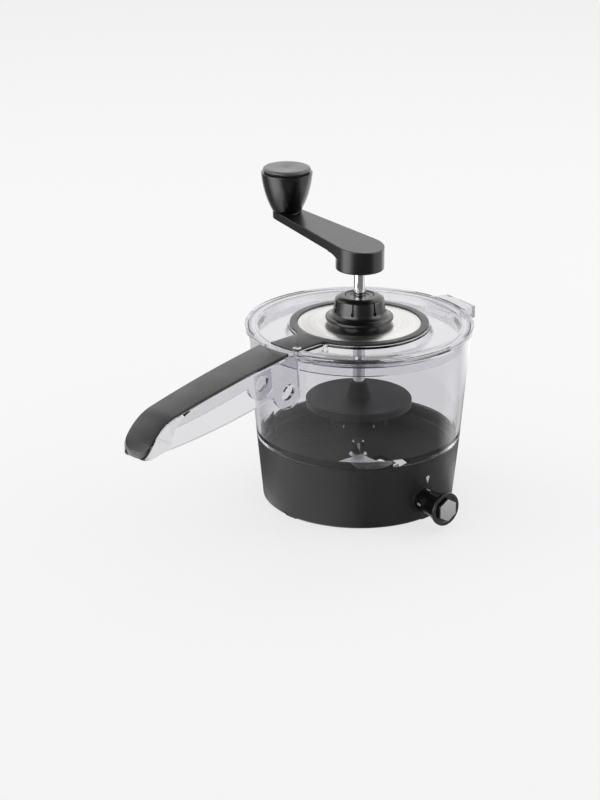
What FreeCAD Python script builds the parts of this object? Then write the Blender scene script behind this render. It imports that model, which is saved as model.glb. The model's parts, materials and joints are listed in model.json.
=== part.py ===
import FreeCAD, Part
import math
import os

# Hand cranked spiral cutter for potatoes: a black base with a planing blade and a rotor of knives,
# a clear container with a handle, a clear lid, and a crank that turns a toothed holder disc.
#
# Millimetres. The origin is on the axis of the bowl, in the plane the feet stand on. +Z is up and
# the handle points along -X. The crank stands as in use, with the holder disc part of the way down.

Vec = FreeCAD.Vector
UP = Vec(0, 0, 1)

# ---- clearances and joints ----
RUNNING = 0.05              # radial play of a shaft in its bore
TURNING_PLAY = 0.10         # radial play of the sleeve in the collar
END_PLAY = 0.30             # axial play of what turns
NEST_PLAY = 0.20            # container spigot in the base, all round
LID_PLAY = 0.30             # lid flange in the rim of the container
DROP_IN = 0.30              # plate in the base ring
SCREW_PLAY = 0.20           # screw shank in a plain hole
SWEEP_PLAY = 0.35           # knife tips under the blade
STOP_GAP = 0.40             # left between the parts that end a travel

# ---- base ring ----
BASE_HEIGHT = 42.9
BASE_TOP_RADIUS = 67.5
BASE_DRAFT = 4.2            # the foot's radius is this much smaller than the top's
BASE_FOOT_RADIUS = BASE_TOP_RADIUS - BASE_DRAFT
BASE_WALL = 2.3
FOOT_BEVEL = 1.2
SHELF_REACH = 12.5          # inwards from the top's radius
SHELF_INNER_RADIUS = BASE_TOP_RADIUS - SHELF_REACH
SHELF_THICKNESS = 2.4
FOOT_WEB = 1.0              # of the wall left behind a foot, so that the lower edge is closed
FOOT_NOTCH_HEIGHT = 2.6
FOOT_NOTCH_WIDTH = 10.5
FOOT_SET_BACK = 0.4
FOOT_END_PLAY = 0.5
FOOT_COUNT = 4
FOOT_AZIMUTH = -92.0

# ---- cutting plate and blade ----
PLATE_THICKNESS = 3.0
PLATE_OVER_BOSS = 0.25      # between the rotor's boss and the plate
WINDOW_INNER = 9.2
WINDOW_MARGIN = 35.5        # of the ring's radius, left beside the window
WINDOW_LENGTH = BASE_TOP_RADIUS - WINDOW_MARGIN
WINDOW_HALF_WIDTH = 12.0
BLADE_LIFT = 3.3            # height of the cutting edge over the plate
BLADE_THICKNESS = 0.8
BLADE_GAP = 1.6             # from the row of knives to the cutting edge
BLADE_BEVEL = 2.2
BLADE_INNER = 7.5
BLADE_SEAT_DEPTH = 14.2
BLADE_SEAT_MARGIN = 0.8
RAMP_RUN = 13.0
BLADE_SCREW_INSET = 7.0
BLADE_SCREW_RADIUS = 1.5
BLADE_SCREW_HEAD_RADIUS = 2.7
BLADE_SCREW_LENGTH = 4.6
PLATE_SCREW_COUNT = 4
PLATE_SCREW_TURN = 45.0
PLATE_SCREW_RADIUS = 1.5
PLATE_SCREW_HEAD_RADIUS = 2.8
PLATE_SCREW_HEAD = 2.0
PLATE_SCREW_BITE = 2.2
CORE_CUTTER_RADIUS = 4.0
CORE_CUTTER_WALL = 0.8
CORE_CUTTER_HEIGHT = 11.0
CORE_CUTTER_EDGE = 0.6
CORE_FLANGE_RADIUS = 6.0
CORE_FLANGE_THICKNESS = 1.0

# ---- knife rotor, on a level axis that points outwards ----
SELECTOR_AZIMUTH = -97.2
SELECTOR_HEIGHT = 15.6
ROTOR_RADIUS = 5.5
ROTOR_START = 9.3
ROTOR_END_JOURNAL = 3.0
ROTOR_JOURNAL = 4.0
ROTOR_SET_BACK = 24.5       # of the end of the rotor body from the ring's radius
ROTOR_SHOULDER = BASE_TOP_RADIUS - ROTOR_SET_BACK
INDEX_GAP = 2.0             # from the shoulder to the square
INDEX_START = ROTOR_SHOULDER + INDEX_GAP
INDEX_LENGTH = 8.0
INDEX_HALF_FLAT = 4.0
INDEX_ROUND = 5.2
END_PILLAR_THICKNESS = 3.8
END_PILLAR_HALF_WIDTH = 6.0
END_PILLAR_DROP = 6.0       # below the axis
END_BUSH_WALL = 1.4
THRUST_THICKNESS = 0.6
THRUST_STEP = 0.8
KNIFE_FIRST = 11.0
KNIFE_END_MARGIN = 4.5      # from the last knife to the shoulder
KNIFE_LAST = ROTOR_SHOULDER - KNIFE_END_MARGIN
KNIFE_THICKNESS = 0.5
KNIFE_ROOT_WIDTH = 5.0
KNIFE_TIP_WIDTH = 2.4
KNIFE_ROOT_RADIUS = 3.4
KNIFE_PITCH_FINE = 3.0
KNIFE_PITCH_MEDIUM = 4.0
KNIFE_PITCH_WIDE = 6.0
KNIFE_PITCH_EXTRA = 12.0
WALL_BUSH_WALL = 1.4
BOSS_WALL = 1.7
BOSS_LENGTH = 8.0
BOSS_PAD_RADIUS = 9.6
BOSS_PAD_STAND = 1.4        # outside the ring, on the selector's axis
LEAF_THICKNESS = 0.4
LEAF_WIDTH = 7.0
LEAF_HALF_LENGTH = 16.0
LEAF_POST_OFFSET = 13.0
LEAF_POST_WIDTH = 5.6
LEAF_SCREW_RADIUS = 1.0
LEAF_SCREW_HEAD_RADIUS = 1.9
LEAF_SCREW_HEAD = 1.2
LEAF_SCREW_BITE = 2.4

# ---- selector knob ----
KNOB_LENGTH = 20.5
KNOB_NECK_RADIUS = 8.0
KNOB_NECK_LENGTH = 7.0
KNOB_RIM_RADIUS = 11.1
KNOB_FLARE_AT_MIDDLE = 0.9   # over the neck, half way along the flare
KNOB_RIM_WIDTH = 1.8
KNOB_EDGE = 0.7
DRIVE_RADIUS = 3.5
DRIVE_FLAT = 2.6            # from the axis to the flat of the drive end
DRIVE_LENGTH = 12.0
INLAY_RADIUS = 8.1          # to the corners of the hexagon
INLAY_THICKNESS = 0.8
INLAY_STAND = 1.4           # of the boss under the inlay, over the knob's face
SELECTOR_SCREW_RADIUS = 1.5
SELECTOR_SCREW_HEAD_RADIUS = 2.8
SELECTOR_SCREW_HEAD = 2.0
SELECTOR_SCREW_BITE = 8.0
KNOB_WEB = 3.0
TICK_LENGTH = 3.2
TICK_START = 1.8
TICK_WIDTHS = (0.8, 1.4, 2.0, 2.8)
TICK_STAND = 0.15
TICK_SINK = 0.4
POINTER_HEIGHT = 30.4       # of its round head
POINTER_TURN = 2.2          # about the base, away from the knob's axis
POINTER_LENGTH = 3.8
POINTER_RADIUS = 1.45
POINTER_STAND = 0.12
POINTER_SINK = 0.6

# ---- container ----
SPIGOT_DEPTH = 8.4
SPIGOT_WALL = 2.4
CONTAINER_WALL = 2.6
CONTAINER_HEIGHT = 77.2     # from the base to the rim
CONTAINER_SPREAD = 6.1      # of the bowl's radius, from the base to the rim
CONTAINER_TOP_RADIUS = BASE_TOP_RADIUS + CONTAINER_SPREAD
RIM_STAND = 1.4             # of the rim outside the wall
RIM_RADIUS = CONTAINER_TOP_RADIUS + RIM_STAND
RIM_HEIGHT = 3.0
RIM_FLARE = 2.2
RIM_ROUND = 0.7
RIM_WIDTH = 2.6
REBATE_DEPTH = 2.4
SPIGOT_RUN = 5.0            # height over which the spigot's wall moves out to the bowl's

TAB_AZIMUTH = -11.9
TAB_STAND = 9.9             # outside the rim
TAB_REACH = RIM_RADIUS + TAB_STAND
TAB_HALF_WIDTH = 15.0
TAB_ROOT_HALF_WIDTH = 18.4
TAB_TOP_BELOW_RIM = 1.3
TAB_DEPTH = 8.0
TAB_WALL = 2.0
TAB_FLOOR = 2.5

HANDLE_STAND = 6.0          # from the rim to the start of the inlay
HANDLE_ROOT = RIM_RADIUS + HANDLE_STAND
HANDLE_GRIP = 95.0          # from the root to where the handle turns down
HANDLE_BEND = HANDLE_ROOT + HANDLE_GRIP
HANDLE_RISE = 1.5           # top of the inlay at its root, over the rim
HANDLE_ROOT_SLOPE = 5.7     # degrees below level
HANDLE_BEND_SLOPE = 11.5
HANDLE_TIP_SLOPE = 72.0
HANDLE_BEND_RADIUS = 34.0
HANDLE_ROOT_HALF_WIDTH = 13.4
HANDLE_TIP_HALF_WIDTH = 11.6
HANDLE_TIP_ROUND = 5.0
HANDLE_DEPTH_ROOT = 24.6    # of the side wall below the top of the rim, near the bowl
HANDLE_DEPTH_MIDDLE = 30.8
HANDLE_DEPTH_END = 33.6
HANDLE_SIDE = 2.4
HANDLE_SKIN = 2.8
CHANNEL_END_RADIUS = 22.0
CHANNEL_PAST_BEND = 4.0
CHANNEL_END = HANDLE_BEND + CHANNEL_PAST_BEND
BOTTOM_START_RUN = 15.0     # from the root, along the reach
HANDLE_BOTTOM_START = HANDLE_ROOT + BOTTOM_START_RUN
BOTTOM_MIDDLE_RUN = 59.0
HANDLE_BOTTOM_MIDDLE = HANDLE_ROOT + BOTTOM_MIDDLE_RUN
BOTTOM_END_RUN = 105.0
HANDLE_BOTTOM_END = HANDLE_ROOT + BOTTOM_END_RUN
LOBE_STAND = 5.2            # of the lobe's middle outside the rim
LOBE_REACH = RIM_RADIUS + LOBE_STAND
LOBE_BELOW_RIM = 22.1
LOBE_RADIUS = 13.0
EYE_LENGTH = 12.0
EYE_WIDTH = 8.0
EYE_TILT = 40.0
EYE_DROP = 2.0              # of the eye below the middle of the lobe
INLAY_STRIP_THICKNESS = 2.0
INLAY_STRIP_PROUD = 1.2
INLAY_STRIP_MARGIN = 0.8
INLAY_ROOT_MARGIN = 0.9

# ---- lid ----
LID_TURN = -1.9             # azimuth the lid stands at in its latch
LID_FLANGE_THICKNESS = 2.2
LID_SKIRT_INSET = 7.0       # inside the rim
LID_SKIRT_RADIUS = RIM_RADIUS - LID_SKIRT_INSET
LID_SKIRT_WALL = 2.0
LID_SKIRT_BOTTOM_BELOW_RIM = 13.1
LID_PLATE_RADIUS = 46.6
LID_PLATE_THICKNESS = 2.4
LID_TROUGH_DEPTH = 4.5      # below the lid's plate
LID_TROUGH_SLOPE = 2.0
LID_TROUGH_WALL = 2.2
LID_SEAT_BELOW_RIM = 1.3    # seat of ring and disc
RING_OUTER_RADIUS = 45.5
RING_THICKNESS = 1.6
DISC_RADIUS = 40.4
DISC_THICKNESS = 1.0
RING_DISC_GAP = 0.2
STRIP_HALF_WIDTH = 11.0
STRIP_END_INSET = 4.0       # inside the rim
STRIP_END_RADIUS = RIM_RADIUS - STRIP_END_INSET
STRIP_ROOT_ROUND = 7.0
STRIP_CORNER_ROUND = 0.8
BRIDGE_MARGIN = 0.9
BRIDGE_WALL = 2.0
NUB_RADIUS = 2.8
NUB_HEIGHT = 1.7
NUB_AZIMUTH = -170.7
NUB_INSET = 6.1             # inside the rim
NUB_REACH = RIM_RADIUS - NUB_INSET
NUB_GAP = 0.4
LATCH_SLOT_AZIMUTH = -8.5
LATCH_SLOT_HALF_WIDTH = 11.5
LATCH_SLOT_INSET = 15.0     # inside the rim
LATCH_SLOT_INNER = RIM_RADIUS - LATCH_SLOT_INSET
LATCH_SLOT_WIDTH = 4.4

# ---- collar, sleeve and nut in the middle of the lid ----
COLLAR_SPIGOT_RADIUS = 9.5
COLLAR_SPIGOT_LENGTH = 11.0
COLLAR_NECK_RADIUS = 13.5
COLLAR_NECK_HEIGHT = 2.7
COLLAR_FLANGE_RADIUS = 22.3
COLLAR_FLANGE_EDGE = 2.2
COLLAR_COVE_HEIGHT = 4.4
COLLAR_BARREL_RADIUS = 16.0
COLLAR_BARREL_FLARE = 1.0      # wider at its foot than at its top edge
COLLAR_HEIGHT = 18.8        # over the steel disc
COLLAR_CROWN_DROP = 2.0        # of the sloping crown, from the recess to the barrel's top edge
COLLAR_CROWN_INSET = 4.6
COLLAR_RECESS_DEPTH = 1.7
COLLAR_SLOT_COUNT = 7
COLLAR_SLOT_AZIMUTH = -153.0
COLLAR_SLOT_WIDTH = 1.0
COLLAR_SLOT_DEPTH = 0.9
COLLAR_SLOT_LENGTH = 9.0
COLLAR_SLOT_FOOT_RADIUS = 1.2
SLEEVE_RADIUS = 6.5
SLEEVE_FLANGE_RADIUS = 9.2
SLEEVE_FLANGE_THICKNESS = 1.3
SLEEVE_TAIL = 2.4
CLIP_THICKNESS = 1.2
CLIP_RADIUS = 8.4
CLIP_GROOVE = 0.5
NUT_RADIUS = 14.5
NUT_HEIGHT = 4.4
NUT_SIDES = 8
O_RING_SECTION = 0.75
O_RING_PLAY = 0.06

# ---- shaft and holder ----
SHAFT_RADIUS = 4.0
SHAFT_LENGTH = 103.0
HOLDER_LIFT = 37.3          # from the cutting plate to the disc's rim, as it stands
HOLDER_RADIUS = 35.2
HOLDER_RIM_DEPTH = 5.0
HOLDER_RIM_WALL = 2.4
HOLDER_PLATE = 2.5
HOLDER_EDGE = 0.8
HOLDER_BOSS_RADIUS = 8.1
HUB_TOP_RADIUS = 5.2
HUB_HEIGHT = 10.7
TOOTH_COUNT = 6
TOOTH_AZIMUTH = 12.6
TOOTH_DROP = 3.8
TOOTH_RUN = 5.5
TOOTH_THICKNESS = 2.0
TOOTH_TIP = 0.6
TOOTH_SET_BACK = 0.4
PIN_COUNT = 6
PIN_CIRCLE = 20.0
PIN_RADIUS = 1.1
PIN_REACH = 11.5            # below the rim of the disc
PIN_POINT = 3.0
PIN_BOSS_RADIUS = 2.6
SPIKE_RADIUS = 4.6
SPIKE_LENGTH = 6.0
SPIKE_TIP_RADIUS = 0.4
SPIKE_SHANK_RADIUS = 2.0
SPIKE_SHANK_LENGTH = 9.0
SHAFT_SEAT = 2.0            # from the disc's rim up to the end of the shaft

# ---- crank ----
CRANK_AZIMUTH = 85.4
CRANK_THROW = 71.1
CRANK_BOSS_RADIUS = 15.9
CRANK_END_RADIUS = 9.5
CRANK_BOSS_HEIGHT = 16.3
CRANK_SLOPE = 6.2
CRANK_THICK_AT_BOSS = 6.9
CRANK_THICK_AT_END = 5.0
CRANK_HOLLOW_RADIUS = 5.0
CRANK_END_ROUND = 2.6
CRANK_EDGE = 0.6
CRANK_BOSS_ROUND = 1.0
CRANK_CAP = 4.5             # left over the end of the shaft
CRANK_SEAT_RADIUS = 9.1
CRANK_SEAT_SINK = 0.5       # of the knob's level seat below the arm's sloping top, on the axle

# ---- crank knob ----
GRIP_FOOT_RADIUS = 9.6
GRIP_MIDDLE_RADIUS = 14.2
GRIP_RIM_RADIUS = 17.2
GRIP_MIDDLE_HEIGHT = 10.8
GRIP_HEIGHT = 26.5
GRIP_BORE_LENGTH = 18.6
GRIP_CAVITY_RADIUS = 9.0
AXLE_RADIUS = 3.0
AXLE_SEAT = 3.4
WASHER_RADIUS = 6.0
WASHER_THICKNESS = 1.0
GRIP_SCREW_RADIUS = 1.5
GRIP_SCREW_HEAD_RADIUS = 2.9
GRIP_SCREW_HEAD = 2.0
GRIP_SCREW_BITE = 9.0
CAP_RADIUS = 16.0
CAP_FOOT_RADIUS = 14.8
CAP_HEIGHT = 3.2
CAP_EDGE = 0.6
CAP_DISH = 0.8
CAP_PLUG_LENGTH = 2.6

# ---- heights and radii that follow ----
WALL_BUSH_RADIUS = ROTOR_JOURNAL + RUNNING + WALL_BUSH_WALL
BOSS_RADIUS = WALL_BUSH_RADIUS + BOSS_WALL
PLATE_BOTTOM = SELECTOR_HEIGHT + BOSS_RADIUS + PLATE_OVER_BOSS
PLATE_TOP = PLATE_BOTTOM + PLATE_THICKNESS
BLADE_BOTTOM = PLATE_TOP + BLADE_LIFT
BLADE_TOP = BLADE_BOTTOM + BLADE_THICKNESS
WINDOW_OUTER = WINDOW_INNER + WINDOW_LENGTH
BLADE_OUTER = WINDOW_OUTER
SEAT_FRONT = -WINDOW_HALF_WIDTH - BLADE_SEAT_MARGIN
SEAT_BACK = SEAT_FRONT - BLADE_SEAT_DEPTH
KNIFE_TIP_RADIUS = BLADE_BOTTOM - SWEEP_PLAY - SELECTOR_HEIGHT
SOCKET_BOTTOM = BASE_HEIGHT - SPIGOT_DEPTH - STOP_GAP
SPIGOT_RADIUS = BASE_TOP_RADIUS - BASE_WALL - NEST_PLAY
RIM_TOP = BASE_HEIGHT + CONTAINER_HEIGHT
REBATE_RADIUS = RIM_RADIUS - RIM_WIDTH
REBATE_FLOOR = RIM_TOP - REBATE_DEPTH
LID_RADIUS = REBATE_RADIUS - LID_PLAY
LID_FLANGE_TOP = REBATE_FLOOR + LID_FLANGE_THICKNESS
LID_SEAT = RIM_TOP - LID_SEAT_BELOW_RIM
TROUGH_FLOOR = LID_SEAT - LID_TROUGH_DEPTH
TROUGH_BOTTOM = TROUGH_FLOOR - LID_TROUGH_WALL
SKIRT_BOTTOM = RIM_TOP - LID_SKIRT_BOTTOM_BELOW_RIM
DISC_TOP = LID_SEAT + DISC_THICKNESS
COLLAR_TOP = DISC_TOP + COLLAR_HEIGHT
COLLAR_BORE = SLEEVE_RADIUS + TURNING_PLAY
SLEEVE_FLANGE_SEAT = COLLAR_TOP - COLLAR_RECESS_DEPTH
COLLAR_BOTTOM = DISC_TOP - COLLAR_SPIGOT_LENGTH
SLEEVE_BOTTOM = COLLAR_BOTTOM - SLEEVE_TAIL
HOLDER_BOTTOM = PLATE_TOP + HOLDER_LIFT
HOLDER_TOP = HOLDER_BOTTOM + HOLDER_RIM_DEPTH
HUB_TOP = HOLDER_TOP + HUB_HEIGHT
SHAFT_BOTTOM = HOLDER_BOTTOM + SHAFT_SEAT
SHAFT_TOP = SHAFT_BOTTOM + SHAFT_LENGTH
CRANK_BOTTOM = SHAFT_TOP + CRANK_CAP - CRANK_BOSS_HEIGHT
CRANK_TOP = CRANK_BOTTOM + CRANK_BOSS_HEIGHT
CRANK_RISE = math.tan(math.radians(CRANK_SLOPE))
CRANK_SEAT = CRANK_TOP + CRANK_RISE * CRANK_THROW - CRANK_SEAT_SINK
GRIP_BOTTOM = CRANK_SEAT + END_PLAY
GRIP_TOP = GRIP_BOTTOM + GRIP_HEIGHT
AXLE_TOP = GRIP_BOTTOM + GRIP_BORE_LENGTH + END_PLAY
BASE_TAPER = (BASE_TOP_RADIUS - BASE_FOOT_RADIUS) / BASE_HEIGHT
PAD_FACE = BASE_FOOT_RADIUS + BASE_TAPER * SELECTOR_HEIGHT + BOSS_PAD_STAND
KNOB_START = PAD_FACE + END_PLAY
KNOB_FACE = KNOB_START + KNOB_LENGTH


# ---- shapes ----
def cylinder(radius, bottom, top, x=0.0, y=0.0):
    """Upright cylinder."""
    return Part.makeCylinder(radius, top - bottom, Vec(x, y, bottom), UP)


def cone(radius_bottom, radius_top, bottom, top, x=0.0, y=0.0):
    """Upright cone."""
    return Part.makeCone(radius_bottom, radius_top, top - bottom, Vec(x, y, bottom), UP)


def tube(outer, inner, bottom, top, x=0.0, y=0.0):
    """Upright ring."""
    return cylinder(outer, bottom, top, x, y).cut(cylinder(inner, bottom, top, x, y))


def rod(radius, start, end):
    """Cylinder on the selector's axis, which lies along +X until it is turned into place."""
    return Part.makeCylinder(radius, end - start, Vec(start, 0, SELECTOR_HEIGHT), Vec(1, 0, 0))


def block(x_range, y_range, z_range):
    """Box between pairs of planes."""
    corner = Vec(x_range[0], y_range[0], z_range[0])
    return Part.makeBox(x_range[1] - x_range[0], y_range[1] - y_range[0], z_range[1] - z_range[0], corner)


def outline(corners):
    """Closed wire of straight edges."""
    return Part.makePolygon(list(corners) + [corners[0]])


def turned_solid(profile):
    """Solid of revolution about Z, from a closed list of (radius, height) pairs."""
    wire = outline([Vec(radius, 0, height) for radius, height in profile])
    return Part.Face(wire).revolve(Vec(0, 0, 0), UP, 360)


def plan_solid(corners, bottom, top):
    """Upright prism, from a closed list of (x, y) pairs."""
    wire = outline([Vec(x, y, bottom) for x, y in corners])
    return Part.Face(wire).extrude(Vec(0, 0, top - bottom))


def joined(shapes):
    """Union of several shapes, with the seams removed."""
    return shapes[0].fuse(shapes[1:]).removeSplitter()


def turned(shape, azimuth):
    """Copy turned about Z."""
    copy = shape.copy()
    copy.rotate(Vec(0, 0, 0), UP, azimuth)
    return copy


def around(shape, count, first_azimuth):
    """Copies of a shape, evenly spaced about Z."""
    return [turned(shape, first_azimuth + 360.0 * number / count) for number in range(count)]


def in_selector_place(shape):
    """A shape made along +X, turned to the azimuth of the selector."""
    return turned(shape, SELECTOR_AZIMUTH)


def base_radius(height):
    """Outer radius of the base ring at a height."""
    return BASE_FOOT_RADIUS + BASE_TAPER * height


def bowl_radius(height):
    """Outer radius of the container's wall at a height."""
    share = (height - BASE_HEIGHT) / CONTAINER_HEIGHT
    return BASE_TOP_RADIUS + (CONTAINER_TOP_RADIUS - BASE_TOP_RADIUS) * share


# ---- base ----
def foot_seat_radius():
    """Radius of the back of the notches, on which the feet are glued."""
    return base_radius(0) - BASE_WALL + FOOT_WEB


def foot_segment(inner, outer, width):
    """Piece of the ring's lower edge, as wide as a notch or a foot, on +X."""
    piece = tube(outer, inner, 0, FOOT_NOTCH_HEIGHT)
    return piece.common(block((0, outer), (-width / 2, width / 2), (0, FOOT_NOTCH_HEIGHT)))


def base_ring():
    inner_foot = base_radius(0) - BASE_WALL
    inner_shelf = base_radius(PLATE_BOTTOM) - BASE_WALL
    inner_socket = base_radius(SOCKET_BOTTOM) - BASE_WALL
    socket_radius = SPIGOT_RADIUS + NEST_PLAY
    shell = turned_solid([
        (base_radius(0) - FOOT_BEVEL, 0),
        (base_radius(FOOT_BEVEL), FOOT_BEVEL),
        (BASE_TOP_RADIUS, BASE_HEIGHT),
        (socket_radius, BASE_HEIGHT),
        (socket_radius, SOCKET_BOTTOM),
        (inner_socket, SOCKET_BOTTOM),
        (inner_shelf, PLATE_BOTTOM),
        (SHELF_INNER_RADIUS, PLATE_BOTTOM),
        (SHELF_INNER_RADIUS, PLATE_BOTTOM - SHELF_THICKNESS),
        (base_radius(PLATE_BOTTOM - SHELF_THICKNESS) - BASE_WALL, PLATE_BOTTOM - SHELF_THICKNESS),
        (inner_foot, 0),
    ])
    inside = base_radius(SELECTOR_HEIGHT) - BASE_WALL
    boss = rod(BOSS_RADIUS, inside - BOSS_LENGTH, inside + BASE_WALL / 2)
    web = block((inside - BOSS_LENGTH, inside), (-BOSS_WALL, BOSS_WALL), (SELECTOR_HEIGHT, PLATE_BOTTOM))
    pad = rod(BOSS_PAD_RADIUS, inside + BASE_WALL / 2, PAD_FACE)
    ring = joined([shell] + [in_selector_place(piece) for piece in (boss, web, pad)])
    ring = ring.cut(in_selector_place(rod(WALL_BUSH_RADIUS, inside - BOSS_LENGTH, PAD_FACE)))
    notch = foot_segment(foot_seat_radius(), BASE_TOP_RADIUS, FOOT_NOTCH_WIDTH)
    ring = ring.cut(around(notch, FOOT_COUNT, FOOT_AZIMUTH))
    screw_hole = cylinder(PLATE_SCREW_RADIUS + SCREW_PLAY, 0, PLATE_BOTTOM, plate_screw_circle())
    ring = ring.cut(plate_screw_places(screw_hole))
    return ring.cut(in_selector_place(pointer_shape()))


def foot_pads():
    outer = base_radius(0) - FOOT_SET_BACK
    pad = foot_segment(foot_seat_radius(), outer, FOOT_NOTCH_WIDTH - 2 * FOOT_END_PLAY)
    return Part.makeCompound(around(pad, FOOT_COUNT, FOOT_AZIMUTH))


def plate_radius():
    return base_radius(PLATE_BOTTOM) - BASE_WALL - DROP_IN


def plate_screw_circle():
    """Radius of the circle of the cutting plate's screws: the middle of the shelf."""
    return (SHELF_INNER_RADIUS + plate_radius()) / 2


def plate_screw_places(shape):
    return around(shape, PLATE_SCREW_COUNT, SELECTOR_AZIMUTH + PLATE_SCREW_TURN)


def plate_screws():
    shelf_bottom = PLATE_BOTTOM - SHELF_THICKNESS
    circle = plate_screw_circle()
    head = cylinder(PLATE_SCREW_HEAD_RADIUS, shelf_bottom - PLATE_SCREW_HEAD, shelf_bottom, circle)
    shank = cylinder(PLATE_SCREW_RADIUS, shelf_bottom, PLATE_BOTTOM + PLATE_SCREW_BITE, circle)
    return Part.makeCompound(plate_screw_places(joined([head, shank])))


def seat_profile_solid(points, start, end):
    """Prism along +X from (tangential place, height) pairs."""
    wire = outline([Vec(start, across, height) for across, height in points])
    return Part.Face(wire).extrude(Vec(end - start, 0, 0))


def blade_screw_stations():
    return (BLADE_INNER + BLADE_SCREW_INSET, BLADE_OUTER - BLADE_SCREW_INSET)


def blade_screw_shape(station):
    across = (SEAT_FRONT + SEAT_BACK) / 2
    head = cone(BLADE_SCREW_RADIUS, BLADE_SCREW_HEAD_RADIUS, BLADE_BOTTOM, BLADE_TOP, station, across)
    shank = cylinder(BLADE_SCREW_RADIUS, BLADE_TOP - BLADE_SCREW_LENGTH, BLADE_BOTTOM, station, across)
    return joined([head, shank])


def leaf_height():
    """Lower face of the detent leaf, which lies on the rotor's square."""
    return SELECTOR_HEIGHT + INDEX_HALF_FLAT + RUNNING


def index_middle():
    return INDEX_START + INDEX_LENGTH / 2


def end_pillar_range():
    face = ROTOR_START - END_PLAY - THRUST_THICKNESS
    return (face - END_PILLAR_THICKNESS, face)


def cutting_plate():
    disc = cylinder(plate_radius(), PLATE_BOTTOM, PLATE_TOP)
    seat = seat_profile_solid([
        (SEAT_FRONT, PLATE_BOTTOM),
        (SEAT_FRONT, BLADE_BOTTOM),
        (SEAT_BACK, BLADE_BOTTOM),
        (SEAT_BACK, BLADE_TOP),
        (SEAT_BACK - RAMP_RUN, PLATE_TOP),
        (SEAT_BACK - RAMP_RUN, PLATE_BOTTOM),
    ], BLADE_INNER, BLADE_OUTER)
    pillar = block(end_pillar_range(), (-END_PILLAR_HALF_WIDTH, END_PILLAR_HALF_WIDTH),
                   (SELECTOR_HEIGHT - END_PILLAR_DROP, PLATE_BOTTOM))
    posts = []
    for side in (-1, 1):
        across = side * LEAF_POST_OFFSET
        posts.append(block((index_middle() - LEAF_WIDTH / 2, index_middle() + LEAF_WIDTH / 2),
                           (across - LEAF_POST_WIDTH / 2, across + LEAF_POST_WIDTH / 2),
                           (leaf_height() + LEAF_THICKNESS, PLATE_BOTTOM)))
    plate = joined([disc] + [in_selector_place(piece) for piece in [seat, pillar] + posts])
    window = block((WINDOW_INNER, WINDOW_OUTER), (-WINDOW_HALF_WIDTH, WINDOW_HALF_WIDTH),
                   (PLATE_BOTTOM, BLADE_TOP))
    holes = [window, rod(ROTOR_END_JOURNAL + RUNNING + END_BUSH_WALL, *end_pillar_range())]
    holes += [blade_screw_shape(station) for station in blade_screw_stations()]
    holes += leaf_screw_shapes()
    plate = plate.cut([in_selector_place(hole) for hole in holes])
    plate = plate.cut(cylinder(CORE_CUTTER_RADIUS, PLATE_BOTTOM, PLATE_TOP))
    bite = cylinder(PLATE_SCREW_RADIUS, PLATE_BOTTOM, PLATE_BOTTOM + PLATE_SCREW_BITE, plate_screw_circle())
    return plate.cut(plate_screw_places(bite))


def main_blade():
    edge = -BLADE_GAP
    blade = seat_profile_solid([
        (edge, BLADE_BOTTOM),
        (edge - BLADE_BEVEL, BLADE_TOP),
        (SEAT_BACK, BLADE_TOP),
        (SEAT_BACK, BLADE_BOTTOM),
    ], BLADE_INNER, BLADE_OUTER)
    for station in blade_screw_stations():
        blade = blade.cut(blade_screw_shape(station))
    return in_selector_place(blade)


def blade_screws():
    screws = [blade_screw_shape(station) for station in blade_screw_stations()]
    return Part.makeCompound([in_selector_place(screw) for screw in screws])


def core_cutter():
    top = PLATE_TOP + CORE_CUTTER_HEIGHT
    bore = CORE_CUTTER_RADIUS - CORE_CUTTER_WALL
    return turned_solid([
        (bore, PLATE_BOTTOM),
        (CORE_CUTTER_RADIUS, PLATE_BOTTOM),
        (CORE_CUTTER_RADIUS, PLATE_TOP),
        (CORE_FLANGE_RADIUS, PLATE_TOP),
        (CORE_FLANGE_RADIUS, PLATE_TOP + CORE_FLANGE_THICKNESS),
        (CORE_CUTTER_RADIUS, PLATE_TOP + CORE_FLANGE_THICKNESS),
        (CORE_CUTTER_RADIUS, top - CORE_CUTTER_EDGE),
        (bore + CORE_CUTTER_EDGE / 4, top),
        (bore, top),
    ])


def rotor_bush():
    inside = base_radius(SELECTOR_HEIGHT) - BASE_WALL - BOSS_LENGTH
    body = rod(WALL_BUSH_RADIUS, inside, PAD_FACE)
    flange = rod(WALL_BUSH_RADIUS + THRUST_STEP, inside - THRUST_THICKNESS, inside)
    bush = joined([body, flange])
    return in_selector_place(bush.cut(rod(ROTOR_JOURNAL + RUNNING, inside - THRUST_THICKNESS, PAD_FACE)))


def rotor_end_bush():
    start, face = end_pillar_range()
    body = rod(ROTOR_END_JOURNAL + RUNNING + END_BUSH_WALL, start, face)
    flange = rod(ROTOR_END_JOURNAL + RUNNING + END_BUSH_WALL + THRUST_STEP, face, face + THRUST_THICKNESS)
    bush = joined([body, flange])
    return in_selector_place(bush.cut(rod(ROTOR_END_JOURNAL + RUNNING, start, face + THRUST_THICKNESS)))


def leaf_screw_shapes():
    """The two small screws of the detent leaf, before they are turned into place."""
    screws = []
    for side in (-1, 1):
        x, y = index_middle(), side * LEAF_POST_OFFSET
        shank_top = leaf_height() + LEAF_THICKNESS + LEAF_SCREW_BITE
        head = cylinder(LEAF_SCREW_HEAD_RADIUS, leaf_height() - LEAF_SCREW_HEAD, leaf_height(), x, y)
        shank = cylinder(LEAF_SCREW_RADIUS, leaf_height(), shank_top, x, y)
        screws.append(joined([head, shank]))
    return screws


def detent_spring():
    leaf = block((index_middle() - LEAF_WIDTH / 2, index_middle() + LEAF_WIDTH / 2),
                 (-LEAF_HALF_LENGTH, LEAF_HALF_LENGTH), (leaf_height(), leaf_height() + LEAF_THICKNESS))
    return in_selector_place(leaf.cut(leaf_screw_shapes()))


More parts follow.
